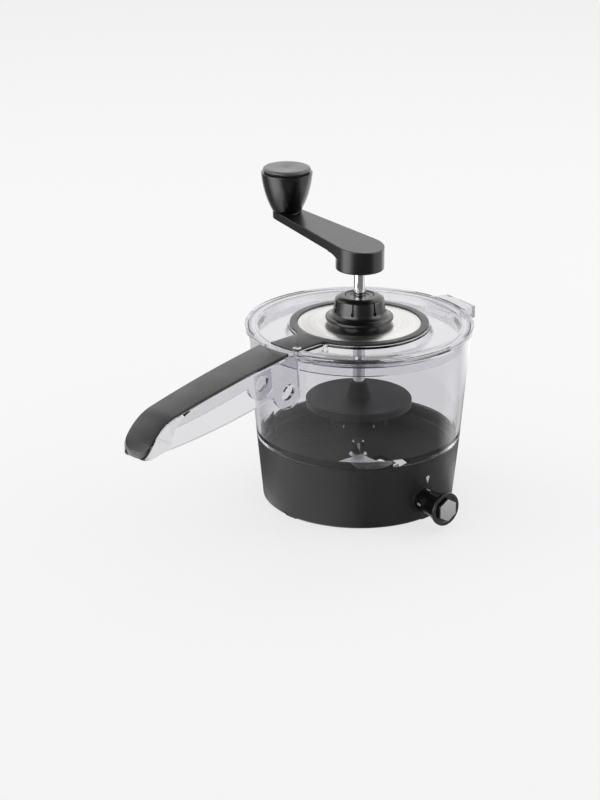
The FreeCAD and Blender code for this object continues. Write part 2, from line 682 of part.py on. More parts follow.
def detent_screws():
    return Part.makeCompound([in_selector_place(screw) for screw in leaf_screw_shapes()])


def pointer_shape():
    """Teardrop that points down at the knob, sunk in the ring's wall, before it is turned into place."""
    surface = base_radius(POINTER_HEIGHT)
    front = surface + POINTER_STAND
    back = surface - POINTER_SINK
    head = Part.makeCylinder(POINTER_RADIUS, front - back, Vec(back, 0, POINTER_HEIGHT), Vec(1, 0, 0))
    wire = outline([
        Vec(back, -POINTER_RADIUS, POINTER_HEIGHT),
        Vec(back, POINTER_RADIUS, POINTER_HEIGHT),
        Vec(back, 0, POINTER_HEIGHT - POINTER_LENGTH),
    ])
    point = Part.Face(wire).extrude(Vec(front - back, 0, 0))
    pointer = joined([head, point])
    pointer.rotate(Vec(0, 0, 0), UP, POINTER_TURN)
    return pointer


def pointer_mark():
    return in_selector_place(pointer_shape())


# ---- selector ----
def knife_shape(station):
    """One knife of the row that points up, in a plane across the rotor's axis."""
    root = SELECTOR_HEIGHT + KNIFE_ROOT_RADIUS
    tip = SELECTOR_HEIGHT + KNIFE_TIP_RADIUS
    back = station - KNIFE_THICKNESS / 2
    wire = outline([
        Vec(back, -KNIFE_ROOT_WIDTH / 2, root),
        Vec(back, KNIFE_ROOT_WIDTH / 2, root),
        Vec(back, 0, tip),
        Vec(back, -KNIFE_TIP_WIDTH, tip - KNIFE_TIP_WIDTH / 2),
    ])
    return Part.Face(wire).extrude(Vec(KNIFE_THICKNESS, 0, 0))


def knife_row_shapes(pitch, quarter):
    """All knives of one row, turned about the rotor's axis by quarters of a turn."""
    knives = []
    for number in range(int((KNIFE_LAST - KNIFE_FIRST) / pitch) + 1):
        knife = knife_shape(KNIFE_FIRST + number * pitch)
        knife.rotate(Vec(0, 0, SELECTOR_HEIGHT), Vec(1, 0, 0), 90.0 * quarter)
        knives.append(knife)
    return knives


def knife_row(pitch, quarter):
    return Part.makeCompound([in_selector_place(knife) for knife in knife_row_shapes(pitch, quarter)])


KNIFE_ROWS = {
    "knife_row_extra": (KNIFE_PITCH_EXTRA, 0),
    "knife_row_fine": (KNIFE_PITCH_FINE, 1),
    "knife_row_medium": (KNIFE_PITCH_MEDIUM, 2),
    "knife_row_wide": (KNIFE_PITCH_WIDE, 3),
}


def drive_end():
    """The flattened end of the rotor, which turns in the knob's bore of the same shape."""
    end = rod(DRIVE_RADIUS, PAD_FACE, PAD_FACE + DRIVE_LENGTH)
    flat = block((PAD_FACE, PAD_FACE + DRIVE_LENGTH), (-DRIVE_RADIUS, DRIVE_RADIUS),
                 (SELECTOR_HEIGHT + DRIVE_FLAT, SELECTOR_HEIGHT + DRIVE_RADIUS))
    return end.cut(flat)


def selector_screw_shape():
    seat = PAD_FACE + DRIVE_LENGTH + KNOB_WEB
    head = rod(SELECTOR_SCREW_HEAD_RADIUS, seat, seat + SELECTOR_SCREW_HEAD)
    shank = rod(SELECTOR_SCREW_RADIUS, seat - KNOB_WEB - SELECTOR_SCREW_BITE, seat)
    return joined([head, shank])


def knife_rotor():
    start, face = end_pillar_range()
    square = block((INDEX_START, INDEX_START + INDEX_LENGTH), (-INDEX_HALF_FLAT, INDEX_HALF_FLAT),
                   (SELECTOR_HEIGHT - INDEX_HALF_FLAT, SELECTOR_HEIGHT + INDEX_HALF_FLAT))
    square = square.common(rod(INDEX_ROUND, INDEX_START, INDEX_START + INDEX_LENGTH))
    rotor = joined([
        rod(ROTOR_END_JOURNAL, start, ROTOR_START),
        rod(ROTOR_RADIUS, ROTOR_START, ROTOR_SHOULDER),
        rod(ROTOR_JOURNAL, ROTOR_SHOULDER, PAD_FACE),
        square,
        drive_end(),
    ])
    knives = []
    for pitch, quarter in KNIFE_ROWS.values():
        knives += knife_row_shapes(pitch, quarter)
    return in_selector_place(rotor.cut(knives + [selector_screw_shape()]))


def hexagon_prism(radius, start, end):
    """Hexagon with a corner at the top, along the selector's axis."""
    corners = []
    for number in range(6):
        angle = math.radians(60 * number)
        corners.append(Vec(start, radius * math.sin(angle), SELECTOR_HEIGHT + radius * math.cos(angle)))
    return Part.Face(outline(corners)).extrude(Vec(end - start, 0, 0))


def tick_shapes():
    """Four marks of growing width round the neck of the knob."""
    start = KNOB_START + TICK_START
    neck_top = SELECTOR_HEIGHT + KNOB_NECK_RADIUS
    marks = []
    for number, width in enumerate(TICK_WIDTHS):
        mark = block((start, start + TICK_LENGTH), (-width / 2, width / 2),
                     (neck_top - TICK_SINK, neck_top + TICK_STAND))
        mark.rotate(Vec(0, 0, SELECTOR_HEIGHT), Vec(1, 0, 0), 90.0 * number)
        marks.append(mark)
    return marks


def selector_knob():
    rim_start = KNOB_FACE - KNOB_RIM_WIDTH
    neck_end = KNOB_START + KNOB_NECK_LENGTH
    flare_middle = Vec((neck_end + rim_start) / 2, 0, KNOB_NECK_RADIUS + KNOB_FLARE_AT_MIDDLE)
    points = [
        Vec(KNOB_FACE, 0, 0),
        Vec(KNOB_START, 0, 0),
        Vec(KNOB_START, 0, KNOB_NECK_RADIUS),
        Vec(neck_end, 0, KNOB_NECK_RADIUS),
    ]
    flare = Part.Arc(points[-1], flare_middle, Vec(rim_start, 0, KNOB_RIM_RADIUS)).toShape()
    rest = [
        Vec(rim_start, 0, KNOB_RIM_RADIUS),
        Vec(KNOB_FACE - KNOB_EDGE, 0, KNOB_RIM_RADIUS),
        Vec(KNOB_FACE, 0, KNOB_RIM_RADIUS - KNOB_EDGE),
        Vec(KNOB_FACE, 0, 0),
    ]
    wire = Part.Wire(list(Part.makePolygon(points).Edges) + [flare] + list(Part.makePolygon(rest).Edges))
    knob = Part.Face(wire).revolve(Vec(0, 0, 0), Vec(1, 0, 0), 360)
    knob.translate(Vec(0, 0, SELECTOR_HEIGHT))
    boss_face = KNOB_FACE + INLAY_STAND
    knob = joined([knob, hexagon_prism(INLAY_RADIUS, KNOB_FACE - KNOB_RIM_WIDTH, boss_face)])
    head_room = rod(SELECTOR_SCREW_HEAD_RADIUS + SCREW_PLAY, PAD_FACE + DRIVE_LENGTH + KNOB_WEB, boss_face)
    knob = knob.cut([head_room, drive_end(), selector_screw_shape()] + tick_shapes())
    return in_selector_place(knob)


def selector_inlay():
    foot = KNOB_FACE + INLAY_STAND
    return in_selector_place(hexagon_prism(INLAY_RADIUS, foot, foot + INLAY_THICKNESS))


def selector_ticks():
    return Part.makeCompound([in_selector_place(mark) for mark in tick_shapes()])


def selector_screw():
    return in_selector_place(selector_screw_shape())


# ---- container ----
def handle_arcs(depth):
    """Centre and radius of the handle's two arcs at a depth below the top of the inlay.

    The first is the long gentle arc of the grip, the second the bend at its end. Both are drawn in
    the plane of reach (distance from the bowl's axis) and height, and they meet in a tangent.
    """
    root, bend = math.radians(HANDLE_ROOT_SLOPE), math.radians(HANDLE_BEND_SLOPE)
    grip_radius = (HANDLE_BEND - HANDLE_ROOT) / (math.sin(bend) - math.sin(root))
    grip_reach = HANDLE_ROOT - grip_radius * math.sin(root)
    grip_height = RIM_TOP + HANDLE_RISE - grip_radius * math.cos(root)
    grip_centre = (grip_reach, grip_height)
    rest = grip_radius - HANDLE_BEND_RADIUS
    bend_centre = (grip_reach + rest * math.sin(bend), grip_height + rest * math.cos(bend))
    return (grip_centre, grip_radius - depth), (bend_centre, HANDLE_BEND_RADIUS - depth)


def arc_point(arc, slope):
    """Point of an arc where it falls at a slope in degrees, as a place in the handle's plane."""
    (reach, height), radius = arc
    angle = math.radians(slope)
    return Vec(-reach - radius * math.sin(angle), 0, height + radius * math.cos(angle))


def arc_edge(arc, start_slope, end_slope):
    middle = (start_slope + end_slope) / 2
    return Part.Arc(arc_point(arc, start_slope), arc_point(arc, middle), arc_point(arc, end_slope)).toShape()


def slope_at(arc, reach):
    """Slope in degrees of an arc at a distance from the bowl's axis."""
    (centre_reach, _), radius = arc
    return math.degrees(math.asin((reach - centre_reach) / radius))


def across_solid(edges, half_width):
    """Solid of a closed outline in the handle's plane, as wide as asked to both sides."""
    solid = Part.Face(Part.Wire(edges)).extrude(Vec(0, 2 * half_width, 0))
    solid.translate(Vec(0, -half_width, 0))
    return solid


def handle_plan(inset, start, bottom, top):
    """Plan of the handle, drawn in by an inset: it tapers and ends in half an ellipse."""
    tip = arc_point(handle_arcs(0)[1], HANDLE_TIP_SLOPE).x
    shoulder = tip + HANDLE_TIP_ROUND
    root_half = HANDLE_ROOT_HALF_WIDTH - inset
    tip_half = HANDLE_TIP_HALF_WIDTH - inset
    taper = (root_half - tip_half) / (-shoulder - HANDLE_ROOT)
    start_half = root_half + taper * (HANDLE_ROOT - start)
    corners = [(-start, -start_half), (-start, start_half), (shoulder, tip_half), (shoulder, -tip_half)]
    straight = plan_solid(corners, bottom, top)
    nose = Vec(tip + inset, 0, bottom)
    ellipse = Part.Ellipse(Vec(shoulder, tip_half, bottom), nose, Vec(shoulder, 0, bottom))
    end = Part.Face(Part.Wire(ellipse.toShape())).extrude(Vec(0, 0, top - bottom))
    return joined([straight, end])


def segment(start, end):
    return Part.LineSegment(start, end).toShape()


def handle_outer():
    """The handle without its hollow, reaching into the bowl, where the bowl's inside cuts it off."""
    grip, bend = handle_arcs(INLAY_STRIP_PROUD)
    inner = bowl_radius(BASE_HEIGHT)
    top_start = Vec(-inner, 0, RIM_TOP)
    grip_start = arc_point(grip, slope_at(grip, HANDLE_ROOT))
    tip = arc_point(bend, HANDLE_TIP_SLOPE)
    bottom = [
        Vec(-HANDLE_BOTTOM_END, 0, RIM_TOP - HANDLE_DEPTH_END),
        Vec(-HANDLE_BOTTOM_MIDDLE, 0, RIM_TOP - HANDLE_DEPTH_MIDDLE),
        Vec(-HANDLE_BOTTOM_START, 0, RIM_TOP - HANDLE_DEPTH_ROOT),
        Vec(-inner, 0, RIM_TOP - HANDLE_DEPTH_ROOT),
    ]
    edges = [
        segment(top_start, grip_start),
        arc_edge(grip, slope_at(grip, HANDLE_ROOT), HANDLE_BEND_SLOPE),
        arc_edge(bend, HANDLE_BEND_SLOPE, HANDLE_TIP_SLOPE),
        segment(tip, bottom[0]),
        Part.Arc(bottom[0], bottom[1], bottom[2]).toShape(),
        segment(bottom[2], bottom[3]),
        segment(bottom[3], top_start),
    ]
    side = across_solid(edges, 2 * HANDLE_ROOT_HALF_WIDTH)
    lobe_start = Vec(-LOBE_REACH, -2 * HANDLE_ROOT_HALF_WIDTH, RIM_TOP - LOBE_BELOW_RIM)
    lobe = Part.makeCylinder(LOBE_RADIUS, 4 * HANDLE_ROOT_HALF_WIDTH, lobe_start, Vec(0, 1, 0))
    side = joined([side, lobe])
    return side.common(handle_plan(0, inner, BASE_HEIGHT, 2 * RIM_TOP))


def handle_hollow():
    """The channel under the grip and the eye through its side walls near the bowl."""
    grip, _ = handle_arcs(INLAY_STRIP_PROUD + HANDLE_SKIN)
    inner = bowl_radius(BASE_HEIGHT)
    turn = CHANNEL_END - CHANNEL_END_RADIUS
    roof_end = arc_point(grip, slope_at(grip, turn))
    drop = Vec(-CHANNEL_END, 0, roof_end.z - CHANNEL_END_RADIUS)
    diagonal = CHANNEL_END_RADIUS * math.sqrt(0.5)
    corner = Vec(-turn - diagonal, 0, roof_end.z - CHANNEL_END_RADIUS + diagonal)
    low = BASE_HEIGHT
    edges = [
        arc_edge(grip, slope_at(grip, inner), slope_at(grip, turn)),
        Part.Arc(roof_end, corner, drop).toShape(),
        segment(drop, Vec(-CHANNEL_END, 0, low)),
        segment(Vec(-CHANNEL_END, 0, low), Vec(-inner, 0, low)),
        segment(Vec(-inner, 0, low), arc_point(grip, slope_at(grip, inner))),
    ]
    channel = across_solid(edges, 2 * HANDLE_ROOT_HALF_WIDTH)
    channel = channel.common(handle_plan(HANDLE_SIDE, inner, low, 2 * RIM_TOP))
    eye = Part.Ellipse(Vec(0, 0, 0), EYE_LENGTH / 2, EYE_WIDTH / 2)
    eye_solid = Part.Face(Part.Wire(eye.toShape())).extrude(Vec(0, 0, 4 * HANDLE_ROOT_HALF_WIDTH))
    eye_solid.rotate(Vec(0, 0, 0), UP, EYE_TILT)
    eye_solid.rotate(Vec(0, 0, 0), Vec(1, 0, 0), 90)
    eye_height = RIM_TOP - LOBE_BELOW_RIM - EYE_DROP
    eye_solid.translate(Vec(-LOBE_REACH, 2 * HANDLE_ROOT_HALF_WIDTH, eye_height))
    bowl = cone(BASE_TOP_RADIUS, bowl_radius(RIM_TOP), BASE_HEIGHT, RIM_TOP)
    return joined([channel, eye_solid]).cut(bowl)


def handle_strip(depth_top, depth_bottom, inset, root):
    """Curved strip along the top of the handle between two depths below the inlay's top."""
    (grip_top, bend_top), (grip_low, bend_low) = handle_arcs(depth_top), handle_arcs(depth_bottom)
    root_top, root_low = slope_at(grip_top, root), slope_at(grip_low, root)
    edges = [
        arc_edge(grip_top, root_top, HANDLE_BEND_SLOPE),
        arc_edge(bend_top, HANDLE_BEND_SLOPE, HANDLE_TIP_SLOPE),
        segment(arc_point(bend_top, HANDLE_TIP_SLOPE), arc_point(bend_low, HANDLE_TIP_SLOPE)),
        arc_edge(bend_low, HANDLE_TIP_SLOPE, HANDLE_BEND_SLOPE),
        arc_edge(grip_low, HANDLE_BEND_SLOPE, root_low),
        segment(arc_point(grip_low, root_low), arc_point(grip_top, root_top)),
    ]
    strip = across_solid(edges, 2 * HANDLE_ROOT_HALF_WIDTH)
    return strip.common(handle_plan(inset, root, BASE_HEIGHT, 2 * RIM_TOP))


def handle_inlay():
    strip = handle_strip(0, INLAY_STRIP_THICKNESS, INLAY_STRIP_MARGIN, HANDLE_ROOT - INLAY_ROOT_MARGIN)
    return strip.cut(cylinder(HANDLE_ROOT, BASE_HEIGHT, 2 * RIM_TOP))


def tab_plan(inset, bottom, top, inner):
    """Plan of the resting tab, drawn in by an inset, before it is turned into place."""
    reach = TAB_REACH - inset
    return plan_solid([(inner, -TAB_ROOT_HALF_WIDTH + inset), (reach, -TAB_HALF_WIDTH + inset),
                       (reach, TAB_HALF_WIDTH - inset), (inner, TAB_ROOT_HALF_WIDTH - inset)], bottom, top)


def container_body():
    wall_start = BASE_HEIGHT + SPIGOT_RUN
    bowl = turned_solid([
        (0, BASE_HEIGHT - SPIGOT_DEPTH),
        (SPIGOT_RADIUS, BASE_HEIGHT - SPIGOT_DEPTH),
        (SPIGOT_RADIUS, BASE_HEIGHT),
        (BASE_TOP_RADIUS, BASE_HEIGHT),
        (bowl_radius(RIM_TOP - RIM_HEIGHT - RIM_FLARE), RIM_TOP - RIM_HEIGHT - RIM_FLARE),
        (RIM_RADIUS, RIM_TOP - RIM_HEIGHT),
        (RIM_RADIUS, RIM_TOP - RIM_ROUND),
        (RIM_RADIUS - RIM_ROUND, RIM_TOP),
        (0, RIM_TOP),
    ])
    tab_top = RIM_TOP - TAB_TOP_BELOW_RIM
    tab = tab_plan(0, tab_top - TAB_DEPTH, tab_top, bowl_radius(BASE_HEIGHT))
    pocket = tab_plan(TAB_WALL, tab_top - TAB_DEPTH + TAB_FLOOR, RIM_TOP, RIM_RADIUS)
    body = joined([bowl, handle_outer(), turned(tab, TAB_AZIMUTH)])
    inside = turned_solid([
        (0, BASE_HEIGHT - SPIGOT_DEPTH),
        (SPIGOT_RADIUS - SPIGOT_WALL, BASE_HEIGHT - SPIGOT_DEPTH),
        (SPIGOT_RADIUS - SPIGOT_WALL, BASE_HEIGHT - SPIGOT_RUN / 2),
        (bowl_radius(wall_start) - CONTAINER_WALL, wall_start),
        (bowl_radius(REBATE_FLOOR) - CONTAINER_WALL, REBATE_FLOOR),
        (REBATE_RADIUS, REBATE_FLOOR),
        (REBATE_RADIUS, 2 * RIM_TOP),
        (0, 2 * RIM_TOP),
    ])
    body = body.cut(inside)
    body = body.cut(handle_hollow())
    body = body.cut(turned(pocket.cut(cylinder(RIM_RADIUS, BASE_HEIGHT, RIM_TOP)), TAB_AZIMUTH))
    return body.cut(handle_inlay())


# ---- lid ----
def nub_place():
    angle = math.radians(NUB_AZIMUTH)
    return NUB_REACH * math.cos(angle), NUB_REACH * math.sin(angle)


def strip_plan(margin, end_radius, bottom, top):
    """Short strip from the ring towards the handle, with a margin all round."""
    half = STRIP_HALF_WIDTH + margin
    strip = block((-end_radius, -DISC_RADIUS), (-half, half), (bottom, top))
    return strip.common(cylinder(end_radius, bottom, top))


def upright_edges_at(shape, radius):
    """Upright edges of a shape on the handle's side, at a distance from Z."""
    found = []
    for edge in shape.Edges:
        start, end = edge.Vertexes[0].Point, edge.Vertexes[-1].Point
        upright = math.hypot(start.x - end.x, start.y - end.y) < 1e-6 < abs(start.z - end.z)
        if upright and start.x < 0 and abs(math.hypot(start.x, start.y) - radius) < 1e-3:
            found.append(edge)
    return found


def ring_and_strip(bottom, top):
    """The black ring of the lid with its strip, flared where they meet."""
    shape = joined([cylinder(RING_OUTER_RADIUS, bottom, top), strip_plan(0, STRIP_END_RADIUS, bottom, top)])
    shape = shape.makeFillet(STRIP_ROOT_ROUND, upright_edges_at(shape, RING_OUTER_RADIUS))
    return shape.makeFillet(STRIP_CORNER_ROUND, upright_edges_at(shape, STRIP_END_RADIUS))


def lid_inlay():
    inlay = ring_and_strip(LID_SEAT, LID_SEAT + RING_THICKNESS)
    inlay = inlay.cut(cylinder(DISC_RADIUS + RING_DISC_GAP, LID_SEAT, LID_SEAT + RING_THICKNESS))
    inlay = inlay.cut(cylinder(NUB_RADIUS + NUB_GAP, LID_SEAT, LID_SEAT + RING_THICKNESS, *nub_place()))
    return turned(inlay, LID_TURN)


def lid_disc():
    return tube(DISC_RADIUS, COLLAR_SPIGOT_RADIUS, LID_SEAT, DISC_TOP)


def lid_shell():
    skirt_inner = LID_SKIRT_RADIUS - LID_SKIRT_WALL
    shell = turned_solid([
        (COLLAR_SPIGOT_RADIUS, LID_SEAT),
        (LID_PLATE_RADIUS, LID_SEAT),
        (LID_PLATE_RADIUS + LID_TROUGH_SLOPE, TROUGH_FLOOR),
        (skirt_inner - LID_TROUGH_SLOPE / 2, TROUGH_FLOOR),
        (LID_SKIRT_RADIUS - LID_TROUGH_SLOPE / 2, LID_FLANGE_TOP),
        (LID_RADIUS, LID_FLANGE_TOP),
        (LID_RADIUS, REBATE_FLOOR),
        (LID_SKIRT_RADIUS, REBATE_FLOOR),
        (LID_SKIRT_RADIUS, SKIRT_BOTTOM),
        (skirt_inner, SKIRT_BOTTOM),
        (skirt_inner, TROUGH_BOTTOM),
        (LID_PLATE_RADIUS, TROUGH_BOTTOM),
        (LID_PLATE_RADIUS - LID_TROUGH_SLOPE, LID_SEAT - LID_PLATE_THICKNESS),
        (COLLAR_SPIGOT_RADIUS, LID_SEAT - LID_PLATE_THICKNESS),
    ])
    bridge = strip_plan(BRIDGE_MARGIN, LID_SKIRT_RADIUS, TROUGH_BOTTOM, LID_SEAT)
    tunnel_top = LID_SEAT - LID_PLATE_THICKNESS
    tunnel = strip_plan(BRIDGE_MARGIN - BRIDGE_WALL, skirt_inner, SKIRT_BOTTOM, tunnel_top)
    slot = block((LATCH_SLOT_INNER, LATCH_SLOT_INNER + LATCH_SLOT_WIDTH),
                 (-LATCH_SLOT_HALF_WIDTH, LATCH_SLOT_HALF_WIDTH), (TROUGH_BOTTOM, LID_FLANGE_TOP))
    nub = cylinder(NUB_RADIUS, REBATE_FLOOR, LID_FLANGE_TOP + NUB_HEIGHT, *nub_place())
    shell = joined([shell, bridge])
    shell = shell.cut([tunnel, turned(slot, LATCH_SLOT_AZIMUTH), ring_and_strip(LID_SEAT, 2 * LID_SEAT)])
    return turned(joined([shell, nub]), LID_TURN)


def guide_collar():
    neck_top = DISC_TOP + COLLAR_NECK_HEIGHT
    edge_top = neck_top + COLLAR_FLANGE_EDGE
    cove_top = edge_top + COLLAR_COVE_HEIGHT
    seat_radius = SLEEVE_FLANGE_RADIUS + END_PLAY
    low = [
        Vec(COLLAR_BORE, 0, COLLAR_BOTTOM),
        Vec(COLLAR_SPIGOT_RADIUS, 0, COLLAR_BOTTOM),
        Vec(COLLAR_SPIGOT_RADIUS, 0, DISC_TOP),
        Vec(COLLAR_NECK_RADIUS, 0, DISC_TOP),
        Vec(COLLAR_NECK_RADIUS, 0, neck_top),
        Vec(COLLAR_FLANGE_RADIUS, 0, neck_top),
        Vec(COLLAR_FLANGE_RADIUS, 0, edge_top),
    ]
    barrel_foot = COLLAR_BARREL_RADIUS + COLLAR_BARREL_FLARE
    cove_end = Vec(barrel_foot, 0, cove_top)
    cove_width = COLLAR_FLANGE_RADIUS - barrel_foot
    bulge = math.sqrt(0.5)
    cove_middle = Vec(COLLAR_FLANGE_RADIUS - cove_width * bulge, 0, cove_top - COLLAR_COVE_HEIGHT * bulge)
    cove = Part.Arc(low[-1], cove_middle, cove_end).toShape()
    high = [
        cove_end,
        Vec(COLLAR_BARREL_RADIUS, 0, COLLAR_TOP - COLLAR_CROWN_DROP),
        Vec(COLLAR_BARREL_RADIUS - COLLAR_CROWN_INSET, 0, COLLAR_TOP),
        Vec(seat_radius, 0, COLLAR_TOP),
        Vec(seat_radius, 0, SLEEVE_FLANGE_SEAT),
        Vec(COLLAR_BORE, 0, SLEEVE_FLANGE_SEAT),
        Vec(COLLAR_BORE, 0, COLLAR_BOTTOM),
    ]
    edges = list(Part.makePolygon(low).Edges) + [cove] + list(Part.makePolygon(high).Edges)
    collar = Part.Face(Part.Wire(edges)).revolve(Vec(0, 0, 0), UP, 360)
    slot_floor = COLLAR_BARREL_RADIUS - COLLAR_SLOT_DEPTH
    slot_bottom = COLLAR_TOP - COLLAR_SLOT_LENGTH
    slot = block((slot_floor, barrel_foot), (-COLLAR_SLOT_WIDTH / 2, COLLAR_SLOT_WIDTH / 2),
                 (slot_bottom, COLLAR_TOP))
    foot_start = Vec(slot_floor, 0, slot_bottom)
    foot = Part.makeCylinder(COLLAR_SLOT_FOOT_RADIUS, barrel_foot - slot_floor, foot_start, Vec(1, 0, 0))
    return collar.cut(around(joined([slot, foot]), COLLAR_SLOT_COUNT, COLLAR_SLOT_AZIMUTH))


def collar_nut():
    top = LID_SEAT - LID_PLATE_THICKNESS
    corners = []
    for number in range(NUT_SIDES):
        angle = 2 * math.pi * number / NUT_SIDES
        corners.append((NUT_RADIUS * math.cos(angle), NUT_RADIUS * math.sin(angle)))
    nut = plan_solid(corners, top - NUT_HEIGHT, top)
    return nut.cut(cylinder(COLLAR_SPIGOT_RADIUS, top - NUT_HEIGHT, top))


# ---- sleeve ----
def o_ring_seat():
    """Radius and height of the middle of the O-ring's section."""
    radius = SHAFT_RADIUS + O_RING_PLAY + O_RING_SECTION
    return radius, (SLEEVE_BOTTOM + SLEEVE_FLANGE_SEAT) / 2


def bearing_sleeve():
    bore = SHAFT_RADIUS + RUNNING
    top = SLEEVE_FLANGE_SEAT + SLEEVE_FLANGE_THICKNESS
    body = tube(SLEEVE_RADIUS, bore, SLEEVE_BOTTOM, SLEEVE_FLANGE_SEAT)
    flange = tube(SLEEVE_FLANGE_RADIUS, bore, SLEEVE_FLANGE_SEAT, top)
    radius, height = o_ring_seat()
    groove = cylinder(radius + O_RING_SECTION, height - O_RING_SECTION, height + O_RING_SECTION)
    clip_bottom = COLLAR_BOTTOM - END_PLAY - CLIP_THICKNESS
    clip_groove = tube(SLEEVE_RADIUS, SLEEVE_RADIUS - CLIP_GROOVE, clip_bottom, clip_bottom + CLIP_THICKNESS)
    return joined([body, flange]).cut([groove, clip_groove])


def sleeve_clip():
    clip_bottom = COLLAR_BOTTOM - END_PLAY - CLIP_THICKNESS
    return tube(CLIP_RADIUS, SLEEVE_RADIUS - CLIP_GROOVE, clip_bottom, clip_bottom + CLIP_THICKNESS)


def friction_ring():
    radius, height = o_ring_seat()
    return Part.makeTorus(radius, O_RING_SECTION, Vec(0, 0, height), UP)


# ---- shaft and holder ----
def centre_spike():
    shank = cylinder(SPIKE_SHANK_RADIUS, HOLDER_BOTTOM, SHAFT_BOTTOM + SPIKE_SHANK_LENGTH)
    point = cone(SPIKE_TIP_RADIUS, SPIKE_RADIUS, HOLDER_BOTTOM - SPIKE_LENGTH, HOLDER_BOTTOM)
    return joined([shank, point])


def drive_shaft():
    shaft = cylinder(SHAFT_RADIUS, SHAFT_BOTTOM, SHAFT_TOP)
    return shaft.cut(centre_spike())


def plate_underside():
    """Underside of the holder disc's plate, inside its rim."""
    return HOLDER_TOP - HOLDER_PLATE


def pin_shape():
    tip = HOLDER_BOTTOM - PIN_REACH
    body = cylinder(PIN_RADIUS, tip + PIN_POINT, plate_underside(), PIN_CIRCLE)
    point = cone(PIN_RADIUS / 10, PIN_RADIUS, tip, tip + PIN_POINT, PIN_CIRCLE)
    return joined([body, point])


def holder_pins():
    return Part.makeCompound(around(pin_shape(), PIN_COUNT, TOOTH_AZIMUTH))


def holder_disc():
    plate_bottom = plate_underside()
    disc = turned_solid([
        (0, HOLDER_BOTTOM),
        (HOLDER_BOSS_RADIUS, HOLDER_BOTTOM),
        (HOLDER_BOSS_RADIUS, plate_bottom),
        (HOLDER_RADIUS - HOLDER_RIM_WALL, plate_bottom),
        (HOLDER_RADIUS - HOLDER_RIM_WALL, HOLDER_BOTTOM),
        (HOLDER_RADIUS, HOLDER_BOTTOM),
        (HOLDER_RADIUS, HOLDER_TOP - HOLDER_EDGE),
        (HOLDER_RADIUS - HOLDER_EDGE, HOLDER_TOP),
        (0, HOLDER_TOP),
    ])
    outside = HOLDER_RADIUS - TOOTH_SET_BACK
    wire = outline([
        Vec(outside, -TOOTH_THICKNESS / 2, plate_bottom),
        Vec(outside, -TOOTH_THICKNESS / 2, HOLDER_BOTTOM - TOOTH_DROP),
        Vec(outside - TOOTH_TIP, -TOOTH_THICKNESS / 2, HOLDER_BOTTOM - TOOTH_DROP),
        Vec(outside - TOOTH_RUN, -TOOTH_THICKNESS / 2, HOLDER_BOTTOM),
        Vec(outside - TOOTH_RUN, -TOOTH_THICKNESS / 2, plate_bottom),
    ])
    tooth = Part.Face(wire).extrude(Vec(0, TOOTH_THICKNESS, 0))
    boss = cylinder(PIN_BOSS_RADIUS, HOLDER_BOTTOM, plate_bottom, PIN_CIRCLE)
    disc = joined([disc] + around(tooth, TOOTH_COUNT, TOOTH_AZIMUTH) + around(boss, PIN_COUNT, TOOTH_AZIMUTH))
    holes = around(pin_shape(), PIN_COUNT, TOOTH_AZIMUTH)
    holes += [centre_spike(), cylinder(SHAFT_RADIUS, SHAFT_BOTTOM, SHAFT_TOP)]
    return disc.cut(holes)


def holder_hub():
    hub = cone(HOLDER_BOSS_RADIUS, HUB_TOP_RADIUS, HOLDER_TOP, HUB_TOP)
    return hub.cut(cylinder(SHAFT_RADIUS, HOLDER_TOP, HUB_TOP))


# ---- crank, made along +X and turned into place ----
def in_crank_place(shape):
    return turned(shape, CRANK_AZIMUTH)


def crank_plan():
    """Plan of the arm: two round ends and the straight sides that touch both."""
    lean = math.asin((CRANK_BOSS_RADIUS - CRANK_END_RADIUS) / CRANK_THROW)
    side = []
    for radius, centre in ((CRANK_BOSS_RADIUS, 0.0), (CRANK_END_RADIUS, CRANK_THROW)):
        side.append((centre + radius * math.sin(lean), radius * math.cos(lean)))
    corners = [side[0], side[1], (side[1][0], -side[1][1]), (side[0][0], -side[0][1])]
    top = CRANK_SEAT + CRANK_BOSS_RADIUS
    return joined([
        plan_solid(corners, CRANK_BOTTOM, top),
        cylinder(CRANK_BOSS_RADIUS, CRANK_BOTTOM, top),
        cylinder(CRANK_END_RADIUS, CRANK_BOTTOM, top, CRANK_THROW),
    ])


def crank_top(reach):
    """Height of the arm's sloping top at a distance from the shaft."""
    return CRANK_TOP + CRANK_RISE * reach


def crank_slab():
    """Side view of the arm without its boss, as wide as the boss."""
    end = CRANK_THROW + CRANK_END_RADIUS
    back = -CRANK_BOSS_RADIUS
    under_at_back = crank_top(back) - CRANK_THICK_AT_BOSS
    under_at_end = crank_top(end) - CRANK_THICK_AT_END
    slope = (under_at_end - under_at_back) / (end - back)
    round_start = Vec(end - CRANK_END_ROUND, 0, under_at_end - slope * CRANK_END_ROUND)
    round_stop = Vec(end, 0, under_at_end + CRANK_END_ROUND)
    bulge = CRANK_END_ROUND * (1 - math.sqrt(0.5))
    edges = [
        segment(Vec(back, 0, under_at_back), round_start),
        Part.Arc(round_start, Vec(end - bulge, 0, under_at_end + bulge), round_stop).toShape(),
        segment(round_stop, Vec(end, 0, crank_top(end))),
        segment(Vec(end, 0, crank_top(end)), Vec(back, 0, crank_top(back))),
        segment(Vec(back, 0, crank_top(back)), Vec(back, 0, under_at_back)),
    ]
    return across_solid(edges, CRANK_BOSS_RADIUS)


